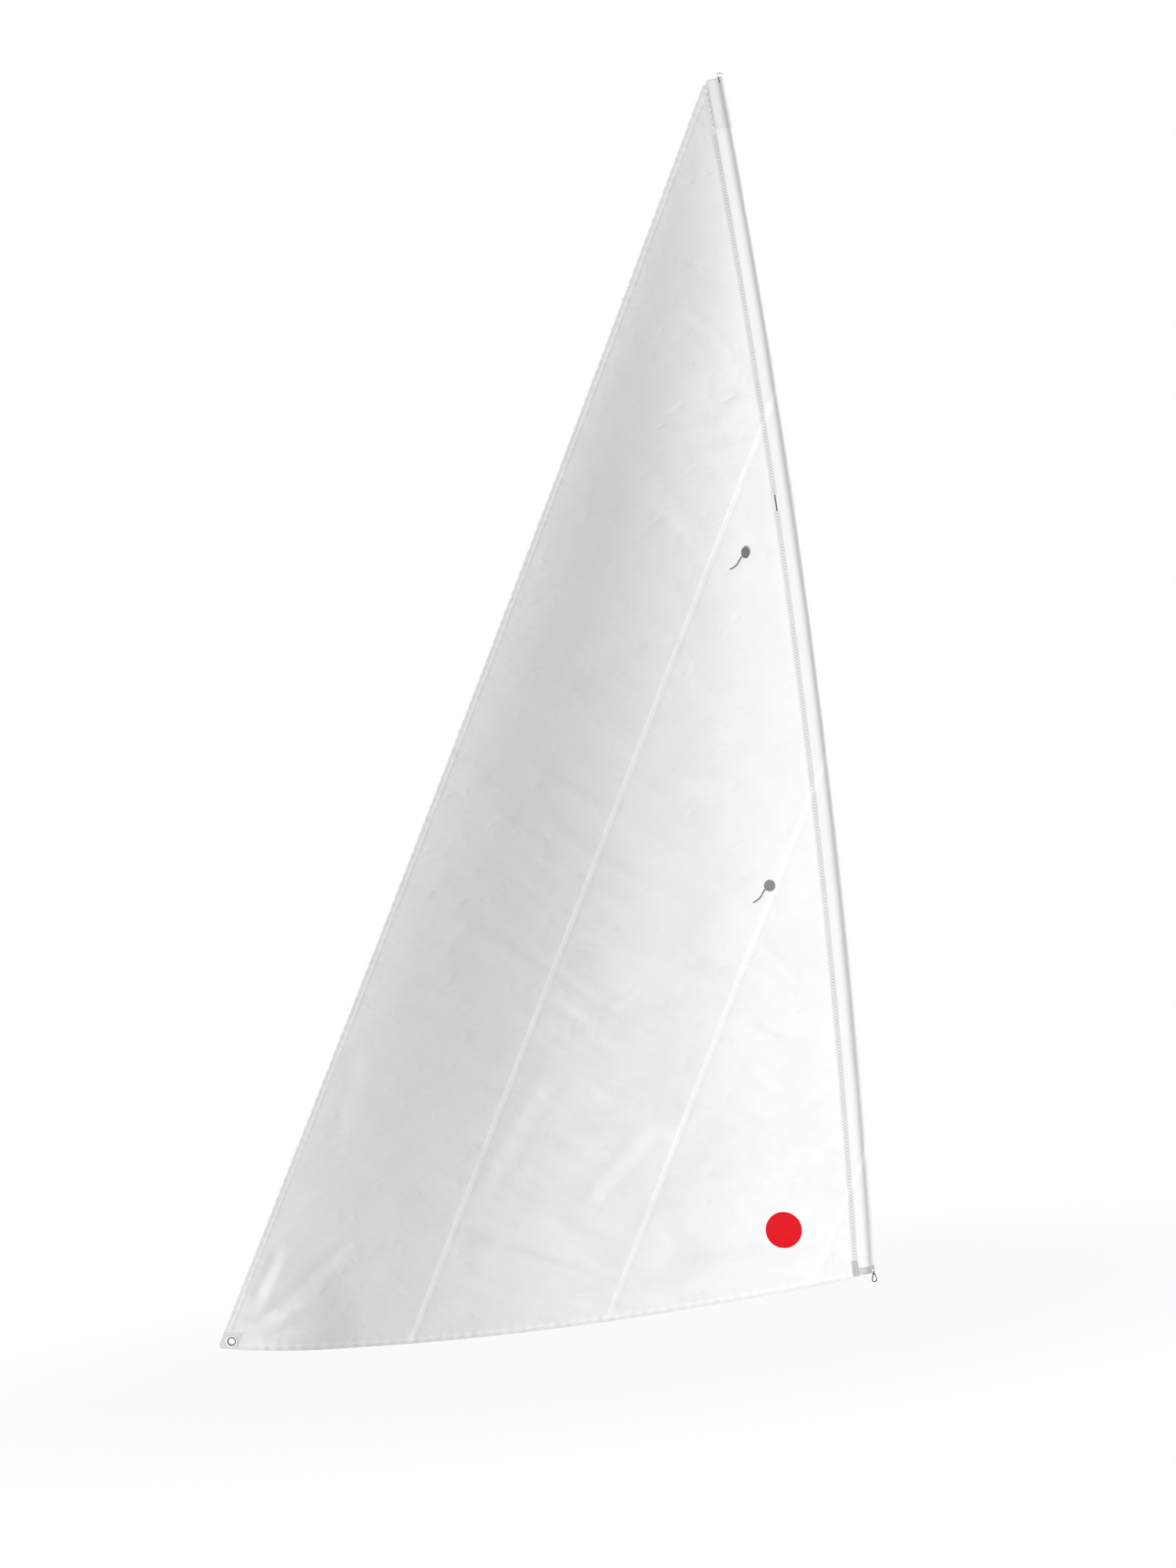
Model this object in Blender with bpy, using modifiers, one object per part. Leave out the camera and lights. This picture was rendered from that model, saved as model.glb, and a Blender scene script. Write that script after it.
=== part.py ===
"""The sail of a small training dinghy, made piece by piece as a sailmaker sews it.

Metres, +Z up along the mast. The origin is the centre of the mast sleeve's mouth, -X runs aft to
the clew, and the sail bellies toward +Y. Every flat piece of cloth is taken from one grid of
columns, which are parallel to the leech as the cloths' seams are, so that stacked layers fit.
"""
import math

import bmesh
import bpy
from mathutils import Matrix, Vector
from mathutils.bvhtree import BVHTree

# Outline of the sail, seen from the side
LUFF_LENGTH = 4.348
LUFF_ROUND = 0.070
HEAD_HEIGHT = 4.335
HEAD_AFT = 0.052
CLEW_AFT = 2.384
LEECH_HOLLOW = 0.016
FOOT_CLEW = (0.043 - CLEW_AFT, -0.007)
FOOT_TACK = (-0.032, -0.0376)
FOOT_ROUND = 0.082
FOOT_ROUND_SHIFT = 0.12
CLEW_CORNER_RADIUS = 0.020

# Belly of the sail
DRAFT = 0.088
DRAFT_FORWARD = 0.3
DRAFT_AT_FOOT = 0.7
DRAFT_FADE = 0.3
LEECH_TWIST = 0.030
AFT_FULLNESS = 0.0225
AFT_START = 0.3
CLEW_FLAT = 0.08
CLEW_FADE = 0.40

# Cloth and its layers
CLOTH = 0.0008
LAYER_GAP = 0.0004
LAYER = CLOTH + LAYER_GAP
PANEL_SHARE = 0.27118
PANEL_PITCH = PANEL_SHARE * CLEW_AFT
SEAM_LAP = 0.018
LAP_STEP = 0.006
TAPE_WIDTH = 0.024
TAPE_FOLD = 0.0013
COLUMN_STEP = 0.115
ROWS_UP_LEECH = 15
GAP = 0.0003

# Mast sleeve
SLEEVE_RADIUS = 0.0236
SLEEVE_ARC_STEPS = 14
FLAPS_MEET = 0.036
PANEL_LUFF = 0.038
FLAP_AFT = 0.060
SLEEVE_BREAK = 2.80
SLEEVE_BREAK_GAP = 0.0006
CAP_LOWER_END = 4.166
CAP_TOP_GAP = 0.0012
CAP_CLEARANCE = 0.0007

# Clew
EYELET_X, EYELET_Z = 0.054 - CLEW_AFT, 0.020
EYELET_HOLE = 0.0118
EYELET_RIM = 0.022
EYELET_BARREL = 0.0140
EYELET_LIP = 0.0015
CORNER_CAP = 0.066
SMALL_PATCH = 0.20
LARGE_PATCH = 0.33
TACK_PATCH_ROWS = 5
PATCH_EDGE_GAP = 0.0020

# Tack
STRAP_WIDTH = 0.027
STRAP_THICKNESS = 0.0015
STRAP_AFT, STRAP_FORWARD = -0.056, 0.0205
STRAP_TOP_AFT, STRAP_TOP_FORWARD = -0.0060, 0.0030
STRAP_HOLE = 0.0045
STRAP_HOLE_X, STRAP_HOLE_Z = 0.0150, -0.0165
REINFORCEMENT_AFT, REINFORCEMENT_FORWARD = -0.0600, -0.0395
REINFORCEMENT_LOW, REINFORCEMENT_HIGH = -0.0340, 0.0220
LASHING_RING = 0.0060
LASHING_WIRE = 0.0015
HOOK_LENGTH = 0.034
HOOK_WIDTH = 0.020
HOOK_WIRE = 0.0020
HOOK_EYE = 0.0040
HOOK_NOSE_UP = 0.0040
GATE_PIVOT = (0.0006, -0.0056)
GATE_CHEEK = 0.0007
GATE_SLOT_LOW = 0.0046
GATE_SLOT = (0.010, 0.012)
PIVOT_INSET = (0.0002, -0.0020)
RIVET_RADIUS = 0.0008
RIVET_PROUD = 0.0004
EYELET_CUTTER = 0.03

# Head
LOOP_LENGTH, LOOP_HEIGHT = 0.022, 0.021
LOOP_X = 0.0115
LOOP_BAND = 0.0030
LOOP_BREADTH = 0.010
BAR_TACK = (0.0045, 0.0022)

# Telltales and the plain class disc
UPPER_DISC = (-0.1128, 2.631)
UPPER_DISC_HALVES = (0.0150, 0.0205)
LOWER_DISC = (-0.1774, 1.413)
LOWER_DISC_HALVES = (0.0205, 0.0210)
YARN_RADIUS = 0.0015
YARN_START_SHARE = 0.5
CLASS_DISC = (-0.2858, 0.1586)
CLASS_DISC_RADIUS = 0.0655
STICKER = 0.0006
STICKER_GAP = 0.0005
YARN_START_GAP = 0.0008
LIFT_REACH = 0.006

# Frame of the columns: along the leech's chord, and square to it toward the luff
CHORD_LOW = Vector((-CLEW_AFT, 0.0))
CHORD_ALONG = (Vector((-HEAD_AFT, HEAD_HEIGHT)) - CHORD_LOW).normalized()
CHORD_ACROSS = Vector((CHORD_ALONG.y, -CHORD_ALONG.x))
SEAMS = [PANEL_PITCH * number for number in (1, 2, 3)]


def new_collection(name):
    collection = bpy.data.collections.new(name)
    bpy.context.scene.collection.children.link(collection)
    return collection


def material(name, color, roughness, metallic=0.0):
    made = bpy.data.materials.new(name)
    made.use_nodes = True
    shader = made.node_tree.nodes["Principled BSDF"]
    shader.inputs["Base Color"].default_value = (*color, 1.0)
    shader.inputs["Roughness"].default_value = roughness
    shader.inputs["Metallic"].default_value = metallic
    made.diffuse_color = (*color, 1.0)
    return made


def smoothstep(value):
    value = min(max(value, 0.0), 1.0)
    return value * value * (3.0 - 2.0 * value)


def luff_x(z):
    """The mast's axis, which bends forward in the middle."""
    share = z / LUFF_LENGTH
    return LUFF_ROUND * 4.0 * share * (1.0 - share)


def leech_x(z):
    share = z / HEAD_HEIGHT
    chord = CHORD_LOW.x + share * (CLEW_AFT - HEAD_AFT)
    return chord + LEECH_HOLLOW * math.sin(math.pi * min(max(share, 0.0), 1.0))


def foot_z(x):
    start, end = Vector(FOOT_CLEW), Vector(FOOT_TACK)
    share = (x - start.x) / (end.x - start.x)
    round_here = FOOT_ROUND * 4.0 * share * (1.0 - share) * (1.0 + FOOT_ROUND_SHIFT * (1.0 - 2.0 * share))
    return start.y + share * (end.y - start.y) - round_here


def depth(x, z):
    """How far the cloth bellies toward +Y at this place."""
    height = min(max(z / LUFF_LENGTH, 0.0), 1.0)
    chord = max(luff_x(z) - leech_x(z), 0.02)
    share = min(max((luff_x(z) - x) / chord, 0.0), 1.0)
    forward = math.sin(math.pi * share) + DRAFT_FORWARD * math.sin(2.0 * math.pi * share)
    lower = DRAFT_AT_FOOT + (1.0 - DRAFT_AT_FOOT) * smoothstep(height / DRAFT_FADE)
    aft = math.sin(math.pi * max(share - AFT_START, 0.0) / (1.0 - AFT_START)) ** 2
    shape = DRAFT * lower * forward + AFT_FULLNESS * aft
    from_clew = math.hypot(x - EYELET_X, z - EYELET_Z)
    flat = smoothstep((from_clew - CLEW_FLAT) / CLEW_FADE)
    twist = LEECH_TWIST * math.sin(math.pi * height) * share * share
    return ((1.0 - height**5) * chord * shape + twist) * flat


def on_sail(x, z, layer=0.0):
    """A point of the cloth; a positive layer lies on the -Y side of it."""
    return Vector((x, depth(x, z) - layer * LAYER, z))


def in_column(across, along):
    """The place at a distance from the leech's chord and up along it."""
    place = CHORD_LOW + across * CHORD_ACROSS + along * CHORD_ALONG
    share = min(max(place.y / HEAD_HEIGHT, 0.0), 1.0)
    fade = max(0.0, 1.0 - across / PANEL_PITCH)
    place.x += LEECH_HOLLOW * math.sin(math.pi * share) * fade
    return place


def bisect(low, high, is_past):
    for _ in range(40):
        middle = 0.5 * (low + high)
        if is_past(middle):
            high = middle
        else:
            low = middle
    return 0.5 * (low + high)


def column_ends(across):
    """Where a column leaves the foot, and where it meets the luff edge or the head."""

    def above_foot(along):
        place = in_column(across, along)
        return place.y > foot_z(place.x)

    def past_luff(along):
        place = in_column(across, along)
        return place.x > luff_x(place.y) - PANEL_LUFF or place.y > HEAD_HEIGHT

    start = bisect(-0.3, 3.0, above_foot)
    return start, max(start, bisect(-0.3, 6.0, past_luff))


def column_rows(across):
    """Distances up a column: the foot's tape, the patches' edges, even steps, and the flap's edge."""
    start, end = column_ends(across)
    length = end - start
    tape = min(TAPE_WIDTH, 0.3 * length)
    flap = min((FLAP_AFT - PANEL_LUFF) / CHORD_ALONG.x, 0.4 * length)
    shrink = min(1.0, 0.5 * (length - flap) / LARGE_PATCH)
    low = [tape + (reach - TAPE_WIDTH) * shrink for reach in (CORNER_CAP, SMALL_PATCH, LARGE_PATCH)]
    low[0] = max(low[0], tape)
    last = low[-1]
    upper = length - flap
    steps = [last + (upper - last) * number / ROWS_UP_LEECH for number in range(1, ROWS_UP_LEECH + 1)]
    return [start + distance for distance in [0.0, tape, *low, *steps, length]]


ROW_TAPE, ROW_CORNER, ROW_SMALL, ROW_LARGE = 1, 2, 3, 4
ROW_FLAP = ROW_LARGE + ROWS_UP_LEECH
ROW_LUFF = ROW_FLAP + 1


def tack_across():
    """The column that has shrunk to a point at the tack."""
    return bisect(SEAMS[2], 3.0, lambda across: column_ends(across)[1] - column_ends(across)[0] < 1e-6)


def spaced(start, end, step):
    count = max(1, round((end - start) / step))
    return [start + (end - start) * number / count for number in range(count + 1)]


TACK_ACROSS = tack_across()


def panel_columns(number):
    """The columns of one cloth, with both edges of each lap."""
    half = SEAM_LAP / 2.0
    if number == 0:
        first = [0.0, TAPE_WIDTH, CORNER_CAP, SMALL_PATCH, LARGE_PATCH]
        return first + spaced(LARGE_PATCH, SEAMS[0] - half, COLUMN_STEP)[1:] + [SEAMS[0] + half]
    start = SEAMS[number - 1]
    inner = start + half + LAP_STEP
    if number == 3:
        return [start - half, start + half] + spaced(inner, TACK_ACROSS, COLUMN_STEP / 2.0)
    end = SEAMS[number]
    return [start - half, start + half] + spaced(inner, end - half, COLUMN_STEP) + [end + half]


def grid_place(across, row):
    """The place of one crossing of the grid; the clew's corner crossing is drawn in to round it."""
    along = column_rows(across)[row]
    if across == 0.0 and row == 0:
        half_angle = 0.5 * CHORD_ALONG.angle(Vector((1.0, -0.15)))
        inward = (CHORD_ALONG + Vector((1.0, -0.15)).normalized()).normalized()
        return in_column(across, along) + inward * CLEW_CORNER_RADIUS * (1.0 / math.sin(half_angle) - 1.0)
    return in_column(across, along)


def link_mesh(name, mesh_maker, collection, surface):
    """A new object from a bmesh, in its collection and with its own material."""
    mesh = bpy.data.meshes.new(name)
    mesh_maker.to_mesh(mesh)
    mesh_maker.free()
    made = bpy.data.objects.new(name, mesh)
    collection.objects.link(made)
    if surface:
        mesh.materials.append(surface)
    return made


def net(name, lines, collection, surface, thickness=CLOTH, keep=None, turned_over=None):
    """A sheet through lines of points, thickened evenly to both sides of the points.

    Cells for which turned_over(j) holds run the other way than the cloth they lie on, so their
    diagonals are changed over to fit it.
    """
    across, along = len(lines), len(lines[0])
    shape = bmesh.new()
    bmesh.ops.create_grid(shape, x_segments=across - 1, y_segments=along - 1, size=0.5)
    cells = {}
    for vertex in shape.verts:
        i = round((vertex.co.x + 0.5) * (across - 1))
        j = round((vertex.co.y + 0.5) * (along - 1))
        cells[vertex] = (i, j)
    if keep:
        unwanted = []
        for face in shape.faces:
            corner = (min(cells[v][0] for v in face.verts), min(cells[v][1] for v in face.verts))
            if not keep(*corner):
                unwanted.append(face)
        bmesh.ops.delete(shape, geom=unwanted, context="FACES")
    for vertex in shape.verts:
        i, j = cells[vertex]
        vertex.co = lines[i][j]
    if turned_over:
        over = [face for face in shape.faces if turned_over(min(cells[v][1] for v in face.verts))]
        bmesh.ops.triangulate(shape, faces=over, quad_method="ALTERNATE")
    rest = [face for face in shape.faces if len(face.verts) == 4]
    bmesh.ops.triangulate(shape, faces=rest, quad_method="FIXED")
    bmesh.ops.remove_doubles(shape, verts=shape.verts, dist=1e-5)
    made = link_mesh(name, shape, collection, surface)
    solidify = made.modifiers.new("cloth", "SOLIDIFY")
    solidify.thickness = thickness
    solidify.offset = 0.0
    solidify.use_even_offset = True
    return made


def sail_cut(name, columns, rows, collection, surface, layer_of=None, keep=None):
    """A piece of cloth that covers the given columns and rows of the grid."""
    lines = []
    for across in columns:
        line = []
        for row in rows:
            place = grid_place(across, row)
            line.append(on_sail(place.x, place.y, layer_of(across) if layer_of else 0.0))
        lines.append(line)
    return net(name, lines, collection, surface, keep=keep)


def cut(target, cutter):
    boolean = target.modifiers.new(cutter.name, "BOOLEAN")
    boolean.operation = "DIFFERENCE"
    boolean.object = cutter


def cylinder(name, radius, length, centre, axis, collection, surface=None, segments=32):
    shape = bmesh.new()
    bmesh.ops.create_cone(
        shape, cap_ends=True, segments=segments, radius1=radius, radius2=radius, depth=length
    )
    made = link_mesh(name, shape, collection, surface)
    made.rotation_euler = Vector(axis).to_track_quat("Z", "Y").to_euler()
    made.location = centre
    return made


def as_cutter(made):
    made.hide_render = True
    made.display_type = "WIRE"
    return made


def all_columns():
    """Every column from the leech to the tack, each once."""
    columns = []
    for number in range(4):
        for across in panel_columns(number):
            if all(abs(across - other) > 1e-6 for other in columns):
                columns.append(across)
    return sorted(columns)


def front_layer(across):
    """The layer next above the cloths: one higher where two of them lap."""
    half = SEAM_LAP / 2.0 + 1e-6
    return 2.0 if any(abs(across - seam) <= half for seam in SEAMS) else 1.0


def sleeve_line(across, top_z=None):
    """The sleeve's section that ends on one column: front flap, round the mast, back flap."""
    flap = grid_place(across, ROW_FLAP)
    luff = grid_place(across, ROW_LUFF)
    height = max(luff.y, 0.0) if top_z is None else top_z
    front, back = front_layer(across), -1.0
    centre = Vector((luff_x(height), 0.0, height))
    meeting_x = centre.x - FLAPS_MEET
    meeting_y = depth(meeting_x, height)
    meeting_z = luff.y if top_z is None else top_z
    aft = Vector((-FLAPS_MEET, meeting_y))
    base = math.atan2(aft.y, aft.x)
    spread = math.acos(SLEEVE_RADIUS / aft.length)
    line = [on_sail(flap.x, flap.y, front), on_sail(luff.x, luff.y, front)]
    line.append(Vector((meeting_x, meeting_y - front * LAYER, meeting_z)))
    sweep = 2.0 * math.pi - 2.0 * spread
    for step in range(SLEEVE_ARC_STEPS + 1):
        angle = base + spread + sweep * step / SLEEVE_ARC_STEPS
        line.append(centre + Vector((math.cos(angle), math.sin(angle), 0.0)) * SLEEVE_RADIUS)
    line.append(Vector((meeting_x, meeting_y - back * LAYER, meeting_z)))
    return line + [on_sail(luff.x, luff.y, back), on_sail(flap.x, flap.y, back)]


def grown(line, distance):
    """The same section a little larger all round, seen from above."""
    larger = []
    for index, place in enumerate(line):
        before, after = line[max(index - 1, 0)], line[min(index + 1, len(line) - 1)]
        arriving = (place - before).xy.normalized() if index else (after - place).xy.normalized()
        leaving = (after - place).xy.normalized() if index < len(line) - 1 else arriving
        way = (arriving + leaving).normalized()
        out = Vector((way.y, -way.x, 0.0)) * distance / max(way.dot(arriving), 0.5)
        larger.append(place + out)
    return larger


def line_at(lines, height):
    """The section between two others whose nose is at this height."""
    nose = len(lines[0]) // 2
    for upper, lower in zip(lines, lines[1:]):
        if lower[nose].z <= height <= upper[nose].z:
            share = (upper[nose].z - height) / (upper[nose].z - lower[nose].z)
            return [a.lerp(b, share) for a, b in zip(upper, lower)]
    return lines[-1]


def between(lines, top, bottom):
    """The sections from one height down to another."""
    nose = len(lines[0]) // 2
    inside = [line for line in lines if bottom < line[nose].z < top]
    first = [line_at(lines, top)] if lines[0][nose].z > top else [lines[0]]
    last = [line_at(lines, bottom)] if bottom > lines[-1][nose].z else [lines[-1]]
    return first + [line for line in inside if line is not lines[0]] + last


def make_sleeve(collection, cloth, cap_cloth):
    columns = all_columns()
    lower = [sleeve_line(across) for across in columns[1:]]
    lines = [sleeve_line(0.0, LUFF_LENGTH)] + lower
    half_gap = SLEEVE_BREAK_GAP / 2.0
    middle = len(lower[0]) // 2

    def back_half(j):
        return j >= middle

    for name, top, bottom in (
        ("mast_sleeve_upper", LUFF_LENGTH, SLEEVE_BREAK + half_gap),
        ("mast_sleeve_lower", SLEEVE_BREAK - half_gap, -1.0),
    ):
        net(name, between(lines, top, bottom), collection, cloth, turned_over=back_half)
    lid = LUFF_LENGTH + CAP_TOP_GAP
    outer = between([sleeve_line(0.0, lid)] + lower, lid, CAP_LOWER_END)
    shell = [grown(line, CLOTH + CAP_CLEARANCE)[1:-1] for line in outer]
    closing = [a.lerp(b, 0.5) for a, b in zip(shell[0], reversed(shell[0]))]
    closing[:2], closing[-2:] = shell[0][:2], shell[0][-2:]
    net("sleeve_head_cap", [closing] + shell, collection, cap_cloth, turned_over=lambda j: j >= middle - 1)


def folded_tape(name, sections, collection, surface):
    """A tape folded round an edge: each section gives its inner place, edge place, outward way and layer."""
    lines = []
    for inner, edge, outward, front in sections:
        fold = on_sail(edge.x, edge.y, 0.5 * (front - 1.0))
        fold += Vector((outward.x, 0.0, outward.y)) * TAPE_FOLD
        lines.append([
            on_sail(inner.x, inner.y, front),
            on_sail(edge.x, edge.y, front),
            fold,
            on_sail(edge.x, edge.y, -1.0),
            on_sail(inner.x, inner.y, -1.0),
        ])
    return net(name, lines, collection, surface, turned_over=lambda j: j < 2)


def make_tapes(collection, surface):
    leech = []
    for row in range(ROW_CORNER, ROW_FLAP + 1):
        shift = 2.0 * GAP * CHORD_ALONG * ((row == ROW_CORNER) - (row == ROW_FLAP))
        inner = grid_place(TAPE_WIDTH, row) + shift
        leech.append((inner, grid_place(0.0, row) + shift, -CHORD_ACROSS, 1.0))
    folded_tape("leech_tape", leech, collection, surface)
    foot = []
    for across in all_columns():
        if CORNER_CAP - 1e-6 <= across < TACK_ACROSS - 1e-6:
            shift = 2.0 * GAP * CHORD_ACROSS * (across < CORNER_CAP + 1e-6)
            inner, edge = grid_place(across, ROW_TAPE) + shift, grid_place(across, 0) + shift
            foot.append((inner, edge, Vector((0.0, -1.0)), front_layer(across)))
    folded_tape("foot_tape", foot, collection, surface)


def make_panels(collection, cloths, eyelet_cutter):
    rows = range(ROW_LUFF + 1)
    made = []
    for number, name in enumerate(("leech_panel", "second_panel", "third_panel", "tack_panel")):
        lap = SEAMS[number - 1] + SEAM_LAP / 2.0 + 1e-6 if number else -1.0
        made.append(
            sail_cut(
                name,
                panel_columns(number),
                rows,
                collection,
                cloths[number],
                layer_of=lambda across, lap=lap: 1.0 if across < lap else 0.0,
            )
        )
    cut(made[0], eyelet_cutter)
    return made


def inset_lines(columns, rows, layer, inset_across=0.0, inset_along=0.0, outer_across=0.0, outer_along=0.0):
    """Lines of grid places whose first and last ones are drawn in by small gaps."""
    lines = []
    for across in columns:
        line = []
        for row in rows:
            place = grid_place(across, row)
            inward = inset_across * (across == columns[0]) - outer_across * (across == columns[-1])
            place += CHORD_ACROSS * inward
            place += CHORD_ALONG * (inset_along * (row == rows[0]) - outer_along * (row == rows[-1]))
            line.append(on_sail(place.x, place.y, layer))
        lines.append(line)
    return lines


def make_reinforcements(collection, surfaces, eyelet_cutter):
    step = PATCH_EDGE_GAP
    corner = [0.0, TAPE_WIDTH, CORNER_CAP], [0, ROW_TAPE, ROW_CORNER]
    for name, layer in (("clew_corner_front", 1.0), ("clew_corner_back", -1.0)):
        lines = inset_lines(*corner, layer, outer_across=step, outer_along=step)
        cut(net(name, lines, collection, surfaces["corner"]), eyelet_cutter)
    reach = [TAPE_WIDTH, CORNER_CAP, SMALL_PATCH, LARGE_PATCH]
    rows = [ROW_TAPE, ROW_CORNER, ROW_SMALL, ROW_LARGE]

    def off_corner(i, j):
        return i > 0 or j > 0

    large = inset_lines(reach, rows, -1.0, step, step)
    net("clew_patch_large", large, collection, surfaces["patch"], keep=off_corner)
    small = inset_lines(reach[:3], rows[:3], -2.0, step, step)
    net("clew_patch_small", small, collection, surfaces["patch"], keep=off_corner)
    head_rows = [ROW_FLAP - 2, ROW_FLAP - 1, ROW_FLAP]
    head = inset_lines([TAPE_WIDTH, CORNER_CAP, SMALL_PATCH], head_rows, -1.0, step, 0.0, 0.0, 3.0 * step)
    net("head_patch", head, collection, surfaces["patch"])
    tack_columns = panel_columns(3)[1:-1]
    tack = inset_lines(tack_columns, list(range(ROW_TAPE, ROW_FLAP - TACK_PATCH_ROWS)), -1.0, step, step)
    net("tack_patch", tack, collection, surfaces["patch"])


def turned(name, profile, centre, collection, surface, steps=40):
    """A ring turned about the Y axis from its profile of radius and depth."""
    shape = bmesh.new()
    points = [shape.verts.new((radius, 0.0, height)) for radius, height in profile]
    for first, second in zip(points, points[1:] + points[:1]):
        shape.edges.new((first, second))
    made = link_mesh(name, shape, collection, surface)
    screw = made.modifiers.new("turn", "SCREW")
    screw.steps = screw.render_steps = steps
    screw.merge_threshold = 1e-5
    screw.use_normal_calculate = True
    made.rotation_euler = (math.pi / 2.0, 0.0, 0.0)
    made.location = centre
    return made


def make_eyelet(collection, brass):
    stack = LAYER + CLOTH / 2.0 + GAP
    outer = stack + EYELET_LIP
    bevel = 0.0005
    centre = Vector((EYELET_X, 0.0, EYELET_Z))
    flange = [
        (EYELET_HOLE, -outer),
        (EYELET_HOLE, outer - bevel),
        (EYELET_HOLE + bevel, outer),
        (EYELET_RIM - bevel, outer),
        (EYELET_RIM, outer - bevel),
        (EYELET_RIM, stack),
        (EYELET_BARREL, stack),
        (EYELET_BARREL, -outer),
    ]
    turned("clew_eyelet", flange, centre, collection, brass)
    ring = [
        (EYELET_RIM - bevel, -outer),
        (EYELET_RIM, -outer + bevel),
        (EYELET_RIM, -stack),
        (EYELET_BARREL + GAP, -stack),
        (EYELET_BARREL + GAP, -outer),
    ]
    turned("clew_eyelet_ring", ring, centre, collection, brass)


def strap_plan():
    """The strap's line seen from above: along the flap, round the front of the sleeve, straight on."""
    level = 0.5 * (REINFORCEMENT_LOW + STRAP_TOP_AFT)
    out = LAYER + CLOTH / 2.0 + GAP + STRAP_THICKNESS / 2.0
    radius = SLEEVE_RADIUS + CLOTH / 2.0 + GAP + STRAP_THICKNESS / 2.0
    flat_part = (STRAP_AFT, 0.5 * (STRAP_AFT - FLAPS_MEET), -FLAPS_MEET)
    plan = [Vector((x, depth(x, level) - out)) for x in flat_part]
    aft = Vector((-FLAPS_MEET, depth(-FLAPS_MEET, level)))
    start = math.atan2(aft.y, aft.x) + math.acos(radius / aft.length)
    for step in range(7):
        angle = start + (1.5 * math.pi - start) * step / 6.0
        plan.append(Vector((math.cos(angle), math.sin(angle))) * radius)
    plan.append(Vector((STRAP_FORWARD, -radius)))
    return plan


def strap_low(x):
    """The strap's lower edge rises a little toward the front."""
    share = (x - STRAP_AFT) / (STRAP_FORWARD - STRAP_AFT)
    return STRAP_TOP_AFT - STRAP_WIDTH + share * (STRAP_TOP_FORWARD - STRAP_TOP_AFT)


def make_tack(collection, cutters, surfaces):
    plan = strap_plan()
    lines = []
    for place in plan:
        low = strap_low(place.x)
        lines.append([Vector((place.x, place.y, low + STRAP_WIDTH * share)) for share in (0.0, 0.5, 1.0)])
    strap = net("tack_strap", lines, collection, surfaces["webbing"], STRAP_THICKNESS)
    strap_y = plan[-1].y
    hole_centre = (STRAP_HOLE_X, strap_y, STRAP_HOLE_Z)
    hole = cylinder("strap_hole", STRAP_HOLE, 4.0 * STRAP_THICKNESS, hole_centre, (0, 1, 0), cutters)
    cut(strap, as_cutter(hole))

    out = LAYER + CLOTH / 2.0 + 2.0 * GAP + 1.5 * STRAP_THICKNESS
    level = 0.5 * (REINFORCEMENT_LOW + STRAP_TOP_AFT)
    lines = []
    for x in (REINFORCEMENT_AFT, 0.5 * (REINFORCEMENT_AFT + REINFORCEMENT_FORWARD), REINFORCEMENT_FORWARD):
        line = []
        for share in (0.0, 0.5, 1.0):
            z = REINFORCEMENT_LOW + share * (REINFORCEMENT_HIGH - REINFORCEMENT_LOW)
            line.append(Vector((x, depth(x, level) - out, z)))
        lines.append(line)
    net("tack_reinforcement", lines, collection, surfaces["webbing"], STRAP_THICKNESS)

    ring_top = STRAP_HOLE_Z - STRAP_HOLE + LASHING_WIRE + GAP
    ring_centre = Vector((STRAP_HOLE_X, strap_y, ring_top - LASHING_RING))
    bpy.ops.mesh.primitive_torus_add(
        major_segments=20,
        minor_segments=8,
        major_radius=LASHING_RING,
        minor_radius=LASHING_WIRE,
        location=ring_centre,
        rotation=(0.0, math.pi / 2.0, 0.0),
    )
    lashing = bpy.context.object
    lashing.name = lashing.data.name = "tack_lashing"
    lashing.data.materials.append(surfaces["cord"])
    for owner in lashing.users_collection:
        owner.objects.unlink(lashing)
    collection.objects.link(lashing)
    make_hook(collection, cutters, surfaces, ring_centre - Vector((0.0, 0.0, LASHING_RING)))


def arc(centre, radius, start, end, steps):
    """Points of an arc in the hook's plane, angles in degrees from +X toward +Z."""
    points = []
    for step in range(steps + 1):
        angle = math.radians(start + (end - start) * step / steps)
        points.append((centre[0] + radius * math.cos(angle), centre[1] + radius * math.sin(angle)))
    return points


def wire_mesh(name, points, radius, collection, surface, resolution=2, start_share=1.0):
    """A bent wire with filled caps, made a welded mesh so that it can be cut. Its start may be thinner."""
    line = bpy.data.curves.new(name + "_line", "CURVE")
    line.dimensions = "3D"
    line.bevel_depth = radius
    line.bevel_resolution = resolution
    line.use_fill_caps = True
    spline = line.splines.new("POLY")
    spline.points.add(len(points) - 1)
    for point, place in zip(spline.points, points):
        point.co = (*place, 1.0)
    spline.points[0].radius = start_share
    guide = bpy.data.objects.new(name + "_guide", line)
    collection.objects.link(guide)
    graph = bpy.context.evaluated_depsgraph_get()
    mesh = bpy.data.meshes.new_from_object(guide.evaluated_get(graph))
    shape = bmesh.new()
    shape.from_mesh(mesh)
    bmesh.ops.remove_doubles(shape, verts=shape.verts, dist=1e-6)
    bmesh.ops.recalc_face_normals(shape, faces=shape.faces)
    bpy.data.meshes.remove(mesh)
    bpy.data.objects.remove(guide)
    return link_mesh(name, shape, collection, surface)


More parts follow.
